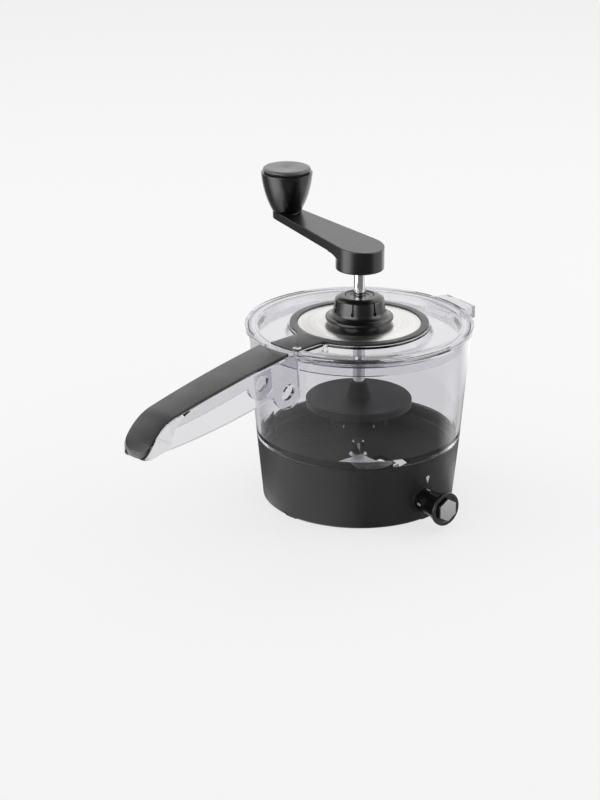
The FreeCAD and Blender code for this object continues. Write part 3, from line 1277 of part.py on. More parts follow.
def crank_boss():
    """Round boss under the arm, with the hollow that leads into the arm's underside."""
    outside = CRANK_BOSS_RADIUS + CRANK_HOLLOW_RADIUS
    front, back = outside, -CRANK_BOSS_RADIUS
    side = across_solid([
        segment(Vec(back, 0, CRANK_BOTTOM), Vec(front, 0, CRANK_BOTTOM)),
        segment(Vec(front, 0, CRANK_BOTTOM), Vec(front, 0, crank_top(front))),
        segment(Vec(front, 0, crank_top(front)), Vec(back, 0, crank_top(back))),
        segment(Vec(back, 0, crank_top(back)), Vec(back, 0, CRANK_BOTTOM)),
    ], CRANK_BOSS_RADIUS)
    boss = cylinder(CRANK_BOSS_RADIUS, CRANK_BOTTOM, crank_top(front)).common(side)
    high = crank_top(CRANK_BOSS_RADIUS) - CRANK_THICK_AT_BOSS
    low = high - CRANK_HOLLOW_RADIUS
    bulge = CRANK_HOLLOW_RADIUS * (1 - math.sqrt(0.5))
    hollow_start, hollow_stop = Vec(CRANK_BOSS_RADIUS, 0, low), Vec(outside, 0, high)
    hollow_middle = Vec(CRANK_BOSS_RADIUS + bulge, 0, high - bulge)
    wire = Part.Wire([
        Part.Arc(hollow_start, hollow_middle, hollow_stop).toShape(),
        segment(hollow_stop, Vec(outside, 0, crank_top(0))),
        segment(Vec(outside, 0, crank_top(0)), Vec(0, 0, crank_top(0))),
        segment(Vec(0, 0, crank_top(0)), Vec(0, 0, low)),
        segment(Vec(0, 0, low), hollow_start),
    ])
    skirt = Part.Face(wire).revolve(Vec(0, 0, 0), UP, 360)
    return joined([boss, skirt.common(crank_plan()).common(side)])


def crank_arm():
    arm = joined([crank_slab().common(crank_plan()), crank_boss()])
    foot = [edge for edge in arm.Edges if abs(edge.BoundBox.ZMax - CRANK_BOTTOM) < 1e-6]
    arm = arm.makeFillet(CRANK_BOSS_ROUND, foot)
    top = max(arm.Faces, key=lambda face: face.normalAt(0, 0).z * face.Area)
    arm = arm.makeFillet(CRANK_EDGE, top.OuterWire.Edges)
    seat = cylinder(CRANK_SEAT_RADIUS, CRANK_SEAT - CRANK_THICK_AT_END / 2, CRANK_SEAT, CRANK_THROW)
    above_seat = cylinder(CRANK_BOSS_RADIUS, CRANK_SEAT, GRIP_TOP, CRANK_THROW)
    arm = joined([arm, seat])
    arm = arm.cut([cylinder(SHAFT_RADIUS, CRANK_BOTTOM, SHAFT_TOP), above_seat,
                   cylinder(AXLE_RADIUS, CRANK_SEAT - AXLE_SEAT, CRANK_SEAT, CRANK_THROW)])
    return in_crank_place(arm)


def grip_screw_shape():
    head_seat = AXLE_TOP + WASHER_THICKNESS
    head = cylinder(GRIP_SCREW_HEAD_RADIUS, head_seat, head_seat + GRIP_SCREW_HEAD, CRANK_THROW)
    shank = cylinder(GRIP_SCREW_RADIUS, AXLE_TOP - GRIP_SCREW_BITE, head_seat, CRANK_THROW)
    return joined([head, shank])


def knob_axle():
    axle = cylinder(AXLE_RADIUS, CRANK_SEAT - AXLE_SEAT, AXLE_TOP, CRANK_THROW)
    return in_crank_place(axle.cut(grip_screw_shape()))


def knob_washer():
    top = AXLE_TOP + WASHER_THICKNESS
    return in_crank_place(tube(WASHER_RADIUS, GRIP_SCREW_RADIUS, AXLE_TOP, top, CRANK_THROW))


def knob_screw():
    return in_crank_place(grip_screw_shape())


def cap_solid():
    """The cap with its plug, about Z, before it is moved over the axle."""
    foot, top = GRIP_TOP, GRIP_TOP + CAP_HEIGHT
    return turned_solid([
        (0, foot - CAP_PLUG_LENGTH),
        (GRIP_CAVITY_RADIUS, foot - CAP_PLUG_LENGTH),
        (GRIP_CAVITY_RADIUS, foot),
        (CAP_FOOT_RADIUS, foot),
        (CAP_RADIUS, top - CAP_EDGE),
        (CAP_RADIUS - CAP_EDGE, top),
        (0, top - CAP_DISH),
    ])


def over_axle(shape):
    shape.translate(Vec(CRANK_THROW, 0, 0))
    return in_crank_place(shape)


def crank_knob():
    foot = Vec(GRIP_FOOT_RADIUS, 0, GRIP_BOTTOM)
    rim = Vec(GRIP_RIM_RADIUS, 0, GRIP_TOP)
    flank = Part.Arc(foot, Vec(GRIP_MIDDLE_RADIUS, 0, GRIP_BOTTOM + GRIP_MIDDLE_HEIGHT), rim).toShape()
    web_top = GRIP_BOTTOM + GRIP_BORE_LENGTH
    rest = [
        rim,
        Vec(GRIP_CAVITY_RADIUS, 0, GRIP_TOP),
        Vec(GRIP_CAVITY_RADIUS, 0, web_top),
        Vec(AXLE_RADIUS + RUNNING, 0, web_top),
        Vec(AXLE_RADIUS + RUNNING, 0, GRIP_BOTTOM),
        foot,
    ]
    knob = Part.Face(Part.Wire([flank] + list(Part.makePolygon(rest).Edges))).revolve(Vec(0, 0, 0), UP, 360)
    return over_axle(knob)


def knob_cap():
    return over_axle(cap_solid())


PIECES = {
    "base_ring": base_ring,
    "cutting_plate": cutting_plate,
    "plate_screws": plate_screws,
    "main_blade": main_blade,
    "blade_screws": blade_screws,
    "core_cutter": core_cutter,
    "rotor_bush": rotor_bush,
    "rotor_end_bush": rotor_end_bush,
    "detent_spring": detent_spring,
    "detent_screws": detent_screws,
    "pointer_mark": pointer_mark,
    "foot_pads": foot_pads,
    "knife_rotor": knife_rotor,
    "selector_knob": selector_knob,
    "selector_inlay": selector_inlay,
    "selector_ticks": selector_ticks,
    "selector_screw": selector_screw,
    "container_body": container_body,
    "handle_inlay": handle_inlay,
    "lid_shell": lid_shell,
    "lid_inlay": lid_inlay,
    "lid_disc": lid_disc,
    "guide_collar": guide_collar,
    "collar_nut": collar_nut,
    "bearing_sleeve": bearing_sleeve,
    "sleeve_clip": sleeve_clip,
    "friction_ring": friction_ring,
    "drive_shaft": drive_shaft,
    "holder_disc": holder_disc,
    "holder_hub": holder_hub,
    "holder_pins": holder_pins,
    "centre_spike": centre_spike,
    "crank_arm": crank_arm,
    "knob_axle": knob_axle,
    "knob_washer": knob_washer,
    "knob_screw": knob_screw,
    "crank_knob": crank_knob,
    "knob_cap": knob_cap,
}

os.makedirs("parts", exist_ok=True)
for name, build in PIECES.items():
    build().exportStep("parts/%s.step" % name)
for name, (pitch, quarter) in KNIFE_ROWS.items():
    knife_row(pitch, quarter).exportStep("parts/%s.step" % name)
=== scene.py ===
"""Looks of a hand cranked spiral cutter for potatoes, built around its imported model."""

import json
import logging
import math
from dataclasses import dataclass, field
from enum import Enum
from typing import Any, Callable, Sequence

import bpy
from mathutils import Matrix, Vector


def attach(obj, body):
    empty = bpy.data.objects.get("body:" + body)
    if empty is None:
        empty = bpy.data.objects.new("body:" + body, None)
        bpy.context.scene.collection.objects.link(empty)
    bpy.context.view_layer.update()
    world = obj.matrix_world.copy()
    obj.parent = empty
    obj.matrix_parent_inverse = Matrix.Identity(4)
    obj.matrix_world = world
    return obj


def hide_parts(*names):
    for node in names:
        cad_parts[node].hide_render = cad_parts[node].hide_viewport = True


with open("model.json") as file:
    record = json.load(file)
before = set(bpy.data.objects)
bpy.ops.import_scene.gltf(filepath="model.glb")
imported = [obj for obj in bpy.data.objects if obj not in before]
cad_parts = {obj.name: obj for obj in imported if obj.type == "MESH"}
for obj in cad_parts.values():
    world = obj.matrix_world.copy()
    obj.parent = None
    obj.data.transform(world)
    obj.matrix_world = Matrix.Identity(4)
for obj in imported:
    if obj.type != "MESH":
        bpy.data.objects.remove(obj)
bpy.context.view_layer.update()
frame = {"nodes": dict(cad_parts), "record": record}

MM = 0.001
LOG = logging.getLogger("spiral_cutter")

UP = Vector((0.0, 0.0, 1.0))

Colour = tuple[float, float, float]
Profile = Sequence[tuple[float, float]]

# The depths of a ray are whole numbers, and this lies between none and one.
FIRST_BOUNCE = 0.5


class Body(Enum):
    """The moving bodies that the pieces ride on."""

    BASE = "base"
    SELECTOR = "selector"
    CONTAINER = "container"
    LID = "lid"
    SLEEVE = "sleeve"
    CRANK = "crank"
    GRIP = "grip"


class Slot(Enum):
    """The material slots of the record."""

    BLACK_MOULDING = "black_moulding"
    BLACK_GLOSS = "black_gloss"
    DARK_INLAY = "dark_inlay"
    GREY_INLAY = "grey_inlay"
    CLEAR_PLASTIC = "clear_plastic"
    BEARING_PLASTIC = "bearing_plastic"
    WHITE_MARK = "white_mark"
    SILVER_MARK = "silver_mark"
    FOOT_RUBBER = "foot_rubber"
    SCREW_STEEL = "screw_steel"
    BLADE_STEEL = "blade_steel"
    BRUSHED_DISC = "brushed_disc"
    POLISHED_STEEL = "polished_steel"


class Lay(Enum):
    """The way in which the fine lines of a worked steel face run."""

    TURNED = "rings about the shaft"
    GROUND = "straight lines across a blade"
    NONE = "a mirror polish with faint haze"


def four(colour: Colour) -> tuple[float, float, float, float]:
    """Returns the colour with full alpha."""
    return (*colour, 1.0)


class NodeSheet:
    """Adds and joins the nodes of one tree."""

    def __init__(self, tree: bpy.types.NodeTree) -> None:
        """Keeps the tree.

        Args:
            tree: The tree of a material, a world or a node group.
        """
        self.tree = tree

    def put(self, kind: str, values: dict | None = None, **settings: Any) -> bpy.types.Node:
        """Adds a node.

        Args:
            kind: The node's type, without the leading "ShaderNode".
            values: Values or sockets for its inputs, by name or number.
            settings: The node's own properties.

        Returns:
            The new node.
        """
        node = self.tree.nodes.new("ShaderNode" + kind)
        for name, value in settings.items():
            setattr(node, name, value)
        self.wire(node, values or {})
        return node

    def wire(self, node: bpy.types.Node, values: dict) -> None:
        """Fills inputs of a node.

        Args:
            node: The node.
            values: Values or sockets for its inputs, by name or number.
        """
        for key, value in values.items():
            if isinstance(value, bpy.types.NodeSocket):
                self.tree.links.new(value, node.inputs[key])
            else:
                node.inputs[key].default_value = value

    def sum(self, operation: str, *values: Any) -> bpy.types.NodeSocket:
        """Adds a Math node and returns its result.

        Args:
            operation: The operation's name.
            values: Numbers or sockets.

        Returns:
            The output socket.
        """
        return self.put("Math", dict(enumerate(values)), operation=operation).outputs[0]

    def between(self, value: bpy.types.NodeSocket, low: float, high: float,
                to_low: float = 0.0, to_high: float = 1.0) -> bpy.types.NodeSocket:
        """Maps a range on another one and clamps it.

        Args:
            value: The socket to map.
            low: The start of its range.
            high: The end of its range.
            to_low: What the start becomes.
            to_high: What the end becomes.

        Returns:
            The output socket.
        """
        return self.put("MapRange", {0: value, 1: low, 2: high, 3: to_low, 4: to_high}).outputs[0]

    def noise(self, place: bpy.types.NodeSocket, scale: Any, detail: float = 2.0,
              roughness: float = 0.5) -> bpy.types.NodeSocket:
        """Adds noise.

        Args:
            place: The coordinates.
            scale: Waves per metre.
            detail: Octaves.
            roughness: Weight of the finer octaves.

        Returns:
            The noise as a value.
        """
        return self.put("TexNoise", {"Vector": place, "Scale": scale, "Detail": detail,
                                     "Roughness": roughness}).outputs["Fac"]

    def object_place(self) -> bpy.types.NodeSocket:
        """Returns the Object coordinates."""
        return self.put("TexCoord").outputs["Object"]


def mirrored_share(sheet: NodeSheet, path: bpy.types.Node) -> bpy.types.NodeSocket:
    """Marks the rays that come off a glossy face and didn't pass through clear plastic.

    Args:
        sheet: The sheet to add to.
        path: Its Light Path node.

    Returns:
        1 for such a ray and 0 for any other.
    """
    outside = sheet.sum("LESS_THAN", path.outputs["Transmission Depth"], FIRST_BOUNCE)
    return sheet.sum("MULTIPLY", path.outputs["Is Glossy Ray"], outside)


def seen_share(sheet: NodeSheet, path: bpy.types.Node, inner: bpy.types.NodeSocket) -> bpy.types.NodeSocket:
    """Marks the rays that see the studio itself, also through clear plastic.

    Args:
        sheet: The sheet to add to.
        path: Its Light Path node.
        inner: What is left for a ray that was mirrored behind clear plastic.

    Returns:
        1 for such a ray, less for one that was mirrored on its way, and 0 for any other.
    """
    passed = sheet.sum("GREATER_THAN", path.outputs["Transmission Depth"], FIRST_BOUNCE)
    direct = sheet.sum("MAXIMUM", path.outputs["Is Camera Ray"], passed)
    mirrored = sheet.between(path.outputs["Glossy Depth"], 0.0, 1.0, 1.0, inner)
    unscattered = sheet.sum("LESS_THAN", path.outputs["Diffuse Depth"], FIRST_BOUNCE)
    return sheet.sum("MULTIPLY", sheet.sum("MULTIPLY", direct, mirrored), unscattered)


@dataclass
class Effects:
    """The node groups that several finishes share, each built once."""

    built: dict[str, bpy.types.NodeTree] = field(default_factory=dict)
    slow_change: tuple[float, float] = (0.3, 0.7)
    convex: tuple[float, float] = (0.515, 0.6)
    wear_break: tuple[float, float] = (0.42, 0.62)
    facing_up: tuple[float, float] = (0.3, 1.0)
    dust_break: tuple[float, float] = (0.52, 0.75)
    wide_rings: float = 0.12
    wide_strokes: float = 0.1
    stroke_turn: float = 0.13
    along_strokes: float = 60.0

    def group(self, name: str, takes: dict[str, float], gives: Sequence[str],
              draw: Callable[[NodeSheet, bpy.types.Node, bpy.types.Node], None]) -> bpy.types.NodeTree:
        """Returns a group, and builds it the first time.

        Args:
            name: The group's name.
            takes: Its inputs and their usual values.
            gives: Its outputs.
            draw: Lays its nodes between its input and output nodes.

        Returns:
            The group's tree.
        """
        if name not in self.built:
            tree = bpy.data.node_groups.new(name, "ShaderNodeTree")
            for label, usual in takes.items():
                socket = tree.interface.new_socket(label, in_out="INPUT", socket_type="NodeSocketFloat")
                socket.default_value = usual
            for label in gives:
                tree.interface.new_socket(label, in_out="OUTPUT", socket_type="NodeSocketFloat")
            draw(NodeSheet(tree), tree.nodes.new("NodeGroupInput"), tree.nodes.new("NodeGroupOutput"))
            self.built[name] = tree
        return self.built[name]

    def place(self, sheet: NodeSheet, tree: bpy.types.NodeTree, **values: float) -> bpy.types.Node:
        """Places a group in a material.

        Args:
            sheet: The material's sheet.
            tree: The group.
            values: Its inputs, with underscores for spaces.

        Returns:
            The group node.
        """
        node = sheet.put("Group", node_tree=tree)
        for name, value in values.items():
            node.inputs[name.replace("_", " ").capitalize()].default_value = value
        return node

    def grain(self) -> bpy.types.NodeTree:
        """The fine grain that a sanded mould leaves: a height, and a slow change of sheen.

        Returns:
            The group's tree.
        """
        def draw(sheet: NodeSheet, start: bpy.types.Node, end: bpy.types.Node) -> None:
            """Lays a fine and a broad noise.

            Args:
                sheet: The group's sheet.
                start: Its input node.
                end: Its output node.
            """
            place = sheet.object_place()
            fine = sheet.noise(place, start.outputs["Fine scale"], detail=3.0, roughness=0.6)
            broad = sheet.noise(place, start.outputs["Broad scale"])
            sheet.wire(end, {"Height": fine, "Sheen change": sheet.between(broad, *self.slow_change)})
        return self.group("mould_grain", {"Fine scale": 2600.0, "Broad scale": 45.0},
                          ("Height", "Sheen change"), draw)

    def wear(self) -> bpy.types.NodeTree:
        """Where corners are rubbed: a mask on convex edges, broken up by noise.

        Returns:
            The group's tree.
        """
        def draw(sheet: NodeSheet, start: bpy.types.Node, end: bpy.types.Node) -> None:
            """Takes the sharp convex places and breaks them up.

            Args:
                sheet: The group's sheet.
                start: Its input node.
                end: Its output node.
            """
            pointed = sheet.put("NewGeometry").outputs["Pointiness"]
            edge = sheet.between(pointed, *self.convex)
            spots = sheet.noise(sheet.object_place(), start.outputs["Scale"], detail=4.0)
            mask = sheet.sum("MULTIPLY", edge, sheet.between(spots, *self.wear_break))
            sheet.wire(end, {"Mask": sheet.sum("MULTIPLY", mask, start.outputs["Amount"])})
        return self.group("edge_wear", {"Amount": 0.5, "Scale": 300.0}, ("Mask",), draw)

    def dust(self) -> bpy.types.NodeTree:
        """A breath of dust on what faces up.

        Returns:
            The group's tree.
        """
        def draw(sheet: NodeSheet, start: bpy.types.Node, end: bpy.types.Node) -> None:
            """Takes what faces up and speckles it.

            Args:
                sheet: The group's sheet.
                start: Its input node.
                end: Its output node.
            """
            normal = sheet.put("NewGeometry").outputs["Normal"]
            up = sheet.between(sheet.put("SeparateXYZ", {0: normal}).outputs[2], *self.facing_up)
            specks = sheet.noise(sheet.object_place(), start.outputs["Scale"], detail=5.0, roughness=0.7)
            mask = sheet.sum("MULTIPLY", up, sheet.between(specks, *self.dust_break))
            sheet.wire(end, {"Mask": sheet.sum("MULTIPLY", mask, start.outputs["Amount"])})
        return self.group("light_dust", {"Amount": 0.1, "Scale": 900.0}, ("Mask",), draw)

    def lines(self, sheet: NodeSheet, line: bpy.types.Node, end: bpy.types.Node, wide: float) -> None:
        """Gives a group of lines its height and its slower tone.

        Args:
            sheet: The group's sheet.
            line: The stretched coordinates.
            end: The group's output node.
            wide: The scale of the tone next to that of the height.
        """
        place = line.outputs[0]
        tone = sheet.between(sheet.noise(place, wide), *self.slow_change)
        sheet.wire(end, {"Height": sheet.noise(place, 1.0, roughness=0.7), "Tone": tone})

    def rings(self) -> bpy.types.NodeTree:
        """Fine turned rings about the shaft: a height and a tone.

        Returns:
            The group's tree.
        """
        def draw(sheet: NodeSheet, start: bpy.types.Node, end: bpy.types.Node) -> None:
            """Runs noise along the distance from the shaft's axis.

            Args:
                sheet: The group's sheet.
                start: Its input node.
                end: Its output node.
            """
            axes = sheet.put("SeparateXYZ", {0: sheet.object_place()})
            squares = [sheet.sum("MULTIPLY", axes.outputs[i], axes.outputs[i]) for i in (0, 1)]
            radius = sheet.sum("SQRT", sheet.sum("ADD", *squares))
            turn = sheet.sum("ARCTAN2", axes.outputs[1], axes.outputs[0])
            line = sheet.put("CombineXYZ", {
                0: sheet.sum("MULTIPLY", radius, start.outputs["Lines per metre"]),
                1: sheet.sum("MULTIPLY", turn, start.outputs["Breaks"])})
            self.lines(sheet, line, end, self.wide_rings)
        return self.group("turned_rings", {"Lines per metre": 9000.0, "Breaks": 1.5},
                          ("Height", "Tone"), draw)

    def strokes(self) -> bpy.types.NodeTree:
        """Straight fine lines of a ground face: a height and a tone.

        Returns:
            The group's tree.
        """
        def draw(sheet: NodeSheet, start: bpy.types.Node, end: bpy.types.Node) -> None:
            """Stretches noise along one direction.

            Args:
                sheet: The group's sheet.
                start: Its input node.
                end: Its output node.
            """
            turned = sheet.put("Mapping", {"Vector": sheet.object_place(),
                                           "Rotation": (0.0, 0.0, self.stroke_turn)})
            axes = sheet.put("SeparateXYZ", {0: turned.outputs[0]})
            line = sheet.put("CombineXYZ", {
                0: sheet.sum("MULTIPLY", axes.outputs[0], start.outputs["Lines per metre"]),
                1: sheet.sum("MULTIPLY", axes.outputs[1], self.along_strokes),
                2: sheet.sum("MULTIPLY", axes.outputs[2], self.along_strokes)})
            self.lines(sheet, line, end, self.wide_strokes)
        return self.group("ground_strokes", {"Lines per metre": 7000.0}, ("Height", "Tone"), draw)


EFFECTS = Effects()


def new_material(name: str) -> tuple[bpy.types.Material, NodeSheet, bpy.types.Node, bpy.types.Node]:
    """Makes an empty material.

    Args:
        name: Its name.

    Returns:
        The material, its sheet, its Principled shader and its output node.
    """
    material = bpy.data.materials.new(name)
    material.use_nodes = True
    material.node_tree.nodes.clear()
    sheet = NodeSheet(material.node_tree)
    shader = sheet.put("BsdfPrincipled")
    output = sheet.put("OutputMaterial", {"Surface": shader.outputs[0]})
    return material, sheet, shader, output


DUST_COLOUR: Colour = (0.55, 0.53, 0.5)


@dataclass(frozen=True)
class MouldedPlastic:
    """An opaque moulded plastic or rubber with grain, soft edges rubbed brighter and a breath of dust."""

    name: str
    colour: Colour
    rubbed: Colour
    roughness: float
    spread: float = 0.06
    grain_scale: float = 2600.0
    grain_depth: float = 0.008
    wear: float = 0.35
    dust: float = 0.05
    coat: float = 0.0
    specular: float = 0.5
    dust_dulling: float = 0.4
    coat_roughness: float = 0.08

    def build(self) -> bpy.types.Material:
        """Builds the material.

        Returns:
            The material.
        """
        material, sheet, shader, _ = new_material(self.name)
        grain = EFFECTS.place(sheet, EFFECTS.grain(), Fine_scale=self.grain_scale)
        wear = EFFECTS.place(sheet, EFFECTS.wear(), Amount=self.wear)
        dust = EFFECTS.place(sheet, EFFECTS.dust(), Amount=self.dust)
        base = sheet.put("MixRGB", {0: wear.outputs[0], 1: four(self.colour), 2: four(self.rubbed)})
        dusty = sheet.put("MixRGB", {0: dust.outputs[0], 1: base.outputs[0],
                                     2: four(DUST_COLOUR)})
        sheen = sheet.between(grain.outputs["Sheen change"], 0.0, 1.0,
                              self.roughness - self.spread, self.roughness + self.spread)
        rough = sheet.sum("ADD", sheen, sheet.sum("MULTIPLY", dust.outputs[0], self.dust_dulling))
        bump = sheet.put("Bump", {"Strength": 1.0, "Distance": self.grain_depth * MM,
                                  "Height": grain.outputs["Height"]})
        sheet.wire(shader, {"Base Color": dusty.outputs[0], "Roughness": rough, "Normal": bump.outputs[0],
                            "Specular IOR Level": self.specular, "Coat Weight": self.coat,
                            "Coat Roughness": self.coat_roughness})
        return material


@dataclass(frozen=True)
class ClearPlastic:
    """A clear moulded plastic that lets light pass."""

    name: str
    colour: Colour
    refraction: float = 1.3
    roughness: float = 0.003
    wave_scale: float = 55.0
    wave_depth: float = 0.012
    wave_tone: float = 0.985
    haze_scale: float = 420.0
    haze_break: tuple[float, float] = (0.35, 0.75)
    haze_spread: float = 2.5
    through: float = 0.97
    depth: float = 5.0

    def build(self) -> bpy.types.Material:
        """Builds the material.

        Returns:
            The material.
        """
        material, sheet, shader, output = new_material(self.name)
        place = sheet.object_place()
        wave = sheet.noise(place, self.wave_scale)
        hair = sheet.noise(place, self.haze_scale, detail=3.0)
        haze = sheet.between(hair, *self.haze_break, self.roughness, self.roughness * self.haze_spread)
        tone = sheet.put("MixRGB", {0: wave, 1: four(self.colour),
                                    2: four(tuple(self.wave_tone * c for c in self.colour))})
        bump = sheet.put("Bump", {"Strength": 1.0, "Distance": self.wave_depth * MM, "Height": wave})
        sheet.wire(shader, {"Base Color": tone.outputs[0], "Roughness": haze, "Normal": bump.outputs[0],
                            "IOR": self.refraction, "Transmission Weight": 1.0})
        through = sheet.put("BsdfTransparent", {"Color": four(tuple(self.through * c for c in self.colour))})
        path = sheet.put("LightPath")
        deep = sheet.sum("GREATER_THAN", path.outputs["Ray Depth"], self.depth)
        straight = sheet.sum("MAXIMUM", path.outputs["Is Shadow Ray"], deep)
        mixed = sheet.put("MixShader", {0: straight, 1: shader.outputs[0], 2: through.outputs[0]})
        sheet.wire(output, {"Surface": mixed.outputs[0]})
        return material


@dataclass(frozen=True)
class WorkedSteel:
    """Stainless steel, turned, ground or polished."""

    name: str
    colour: Colour
    lay: Lay
    roughness: float
    spread: float = 0.05
    line_depth: float = 0.004
    anisotropy: float = 0.0
    lines: float = 9000.0
    haze_scale: float = 900.0
    dulling: float = 0.9

    def build(self) -> bpy.types.Material:
        """Builds the material.

        Returns:
            The material.
        """
        material, sheet, shader, _ = new_material(self.name)
        if self.lay is Lay.NONE:
            marks = EFFECTS.place(sheet, EFFECTS.grain(), Fine_scale=self.haze_scale)
            tone = marks.outputs["Sheen change"]
        else:
            effect = EFFECTS.rings() if self.lay is Lay.TURNED else EFFECTS.strokes()
            marks = EFFECTS.place(sheet, effect, Lines_per_metre=self.lines)
            tone = marks.outputs["Tone"]
        dull = tuple(self.dulling * c for c in self.colour)
        colour = sheet.put("MixRGB", {0: tone, 1: four(self.colour), 2: four(dull)})
        rough = sheet.between(tone, 0.0, 1.0, self.roughness - self.spread, self.roughness + self.spread)
        bump = sheet.put("Bump", {"Strength": 1.0, "Distance": self.line_depth * MM,
                                  "Height": marks.outputs["Height"]})
        sheet.wire(shader, {"Base Color": colour.outputs[0], "Roughness": rough, "Normal": bump.outputs[0],
                            "Metallic": 1.0, "Anisotropic": self.anisotropy})
        if self.anisotropy:
            tangent = sheet.put("Tangent", direction_type="RADIAL", axis="Z")
            sheet.wire(shader, {"Tangent": tangent.outputs[0]})
        return material


FINISHES = {
    Slot.BLACK_MOULDING: MouldedPlastic(
        "matt_black_moulding", (0.026, 0.026, 0.027), rubbed=(0.05, 0.05, 0.052), roughness=0.5,
        specular=0.3),
    Slot.BLACK_GLOSS: MouldedPlastic(
        "glossy_black_plastic", (0.005, 0.005, 0.006), rubbed=(0.03, 0.03, 0.03), roughness=0.27,
        spread=0.03, grain_depth=0.004, wear=0.2, dust=0.02, coat=0.15),
    Slot.DARK_INLAY: MouldedPlastic(
        "satin_dark_grey", (0.022, 0.022, 0.023), rubbed=(0.06, 0.06, 0.062), roughness=0.36,
        grain_depth=0.012),
    Slot.GREY_INLAY: MouldedPlastic(
        "satin_grey", (0.12, 0.12, 0.125), rubbed=(0.22, 0.22, 0.22), roughness=0.34),
    Slot.CLEAR_PLASTIC: ClearPlastic("clear_moulded_plastic", (0.815, 0.81, 0.835)),
    Slot.BEARING_PLASTIC: MouldedPlastic(
        "bearing_plastic", (0.02, 0.02, 0.021), rubbed=(0.06, 0.06, 0.06), roughness=0.25),
    Slot.WHITE_MARK: MouldedPlastic(
        "white_insert", (0.93, 0.93, 0.93), rubbed=(0.95, 0.95, 0.95), roughness=0.4, dust=0.0),
    Slot.SILVER_MARK: MouldedPlastic(
        "silver_print", (0.72, 0.72, 0.73), rubbed=(0.8, 0.8, 0.8), roughness=0.3, dust=0.0),
    Slot.FOOT_RUBBER: MouldedPlastic(
        "black_rubber", (0.018, 0.018, 0.018), rubbed=(0.04, 0.04, 0.04), roughness=0.7,
        grain_depth=0.05, dust=0.15),
    Slot.SCREW_STEEL: WorkedSteel("screw_steel", (0.55, 0.55, 0.56), Lay.NONE, roughness=0.25),
    Slot.BLADE_STEEL: WorkedSteel("ground_blade_steel", (0.62, 0.62, 0.64), Lay.GROUND, roughness=0.22),
    Slot.BRUSHED_DISC: WorkedSteel(
        "turned_steel_disc", (0.66, 0.645, 0.63), Lay.TURNED, roughness=0.3, line_depth=0.002,
        anisotropy=0.6),
    Slot.POLISHED_STEEL: WorkedSteel(
        "polished_steel", (0.72, 0.72, 0.74), Lay.NONE, roughness=0.06, spread=0.02, line_depth=0.0008),
}

NODE_FINISHES = {
    "lid_shell": ClearPlastic("clear_lid_plastic", (0.92, 0.915, 0.928)),
    "cutting_plate": MouldedPlastic(
        "matt_black_plate", (0.014, 0.014, 0.015), rubbed=(0.03, 0.03, 0.03), roughness=0.6, specular=0.2),
}


class Dresser:
    """Gives the nodes and the new pieces their finishes."""

    def __init__(self) -> None:
        """Builds the material of each slot, and those of the nodes with a finish of their own."""
        self.materials = {slot: finish.build() for slot, finish in FINISHES.items()}
        self.own = {name: finish.build() for name, finish in NODE_FINISHES.items()}

    def dress(self, piece: bpy.types.Object, slot: Slot) -> None:
        """Puts the finish of a slot on a piece.

        Args:
            piece: A new piece or a node.
            slot: The record's slot.
        """
        piece.data.materials.clear()
        piece.data.materials.append(self.materials[slot])

    def dress_nodes(self) -> None:
        """Dresses every node of the frame in the finish of its own slot."""
        slots = {part["node"]: part["material_slot"] for part in frame["record"]["subparts"]}
        for name, node in frame["nodes"].items():
            self.dress(node, Slot(slots[name]))
            if name in self.own:
                node.data.materials[0] = self.own[name]
            LOG.info("node %s wears %s", name, node.data.materials[0].name)


def level(azimuth: float) -> Vector:
    """Returns the level direction at an azimuth in degrees."""
    turn = math.radians(azimuth)
    return Vector((math.cos(turn), math.sin(turn), 0.0))


def bow(start: tuple[float, float], end: tuple[float, float], bulge: float,
        steps: int = 10) -> list[tuple[float, float]]:
    """Draws a shallow curve of a profile.

    Args:
        start: Its first corner.
        end: Its last corner.
        bulge: How far its middle stands off the straight line, to the right of the way it runs.
        steps: Its number of lines.

    Returns:
        Its points, both ends included.
    """
    run, rise = end[0] - start[0], end[1] - start[1]
    length = math.hypot(run, rise)
    points = []
    for step in range(steps + 1):
        share = step / steps
        off = 4.0 * bulge * share * (1.0 - share) / length
        points.append((start[0] + run * share + rise * off, start[1] + rise * share - run * off))
    return points


def take(piece: bpy.types.Object) -> None:
    """Selects one object alone.

    Args:
        piece: The object.
    """
    bpy.ops.object.select_all(action="DESELECT")
    piece.select_set(True)
    bpy.context.view_layer.objects.active = piece


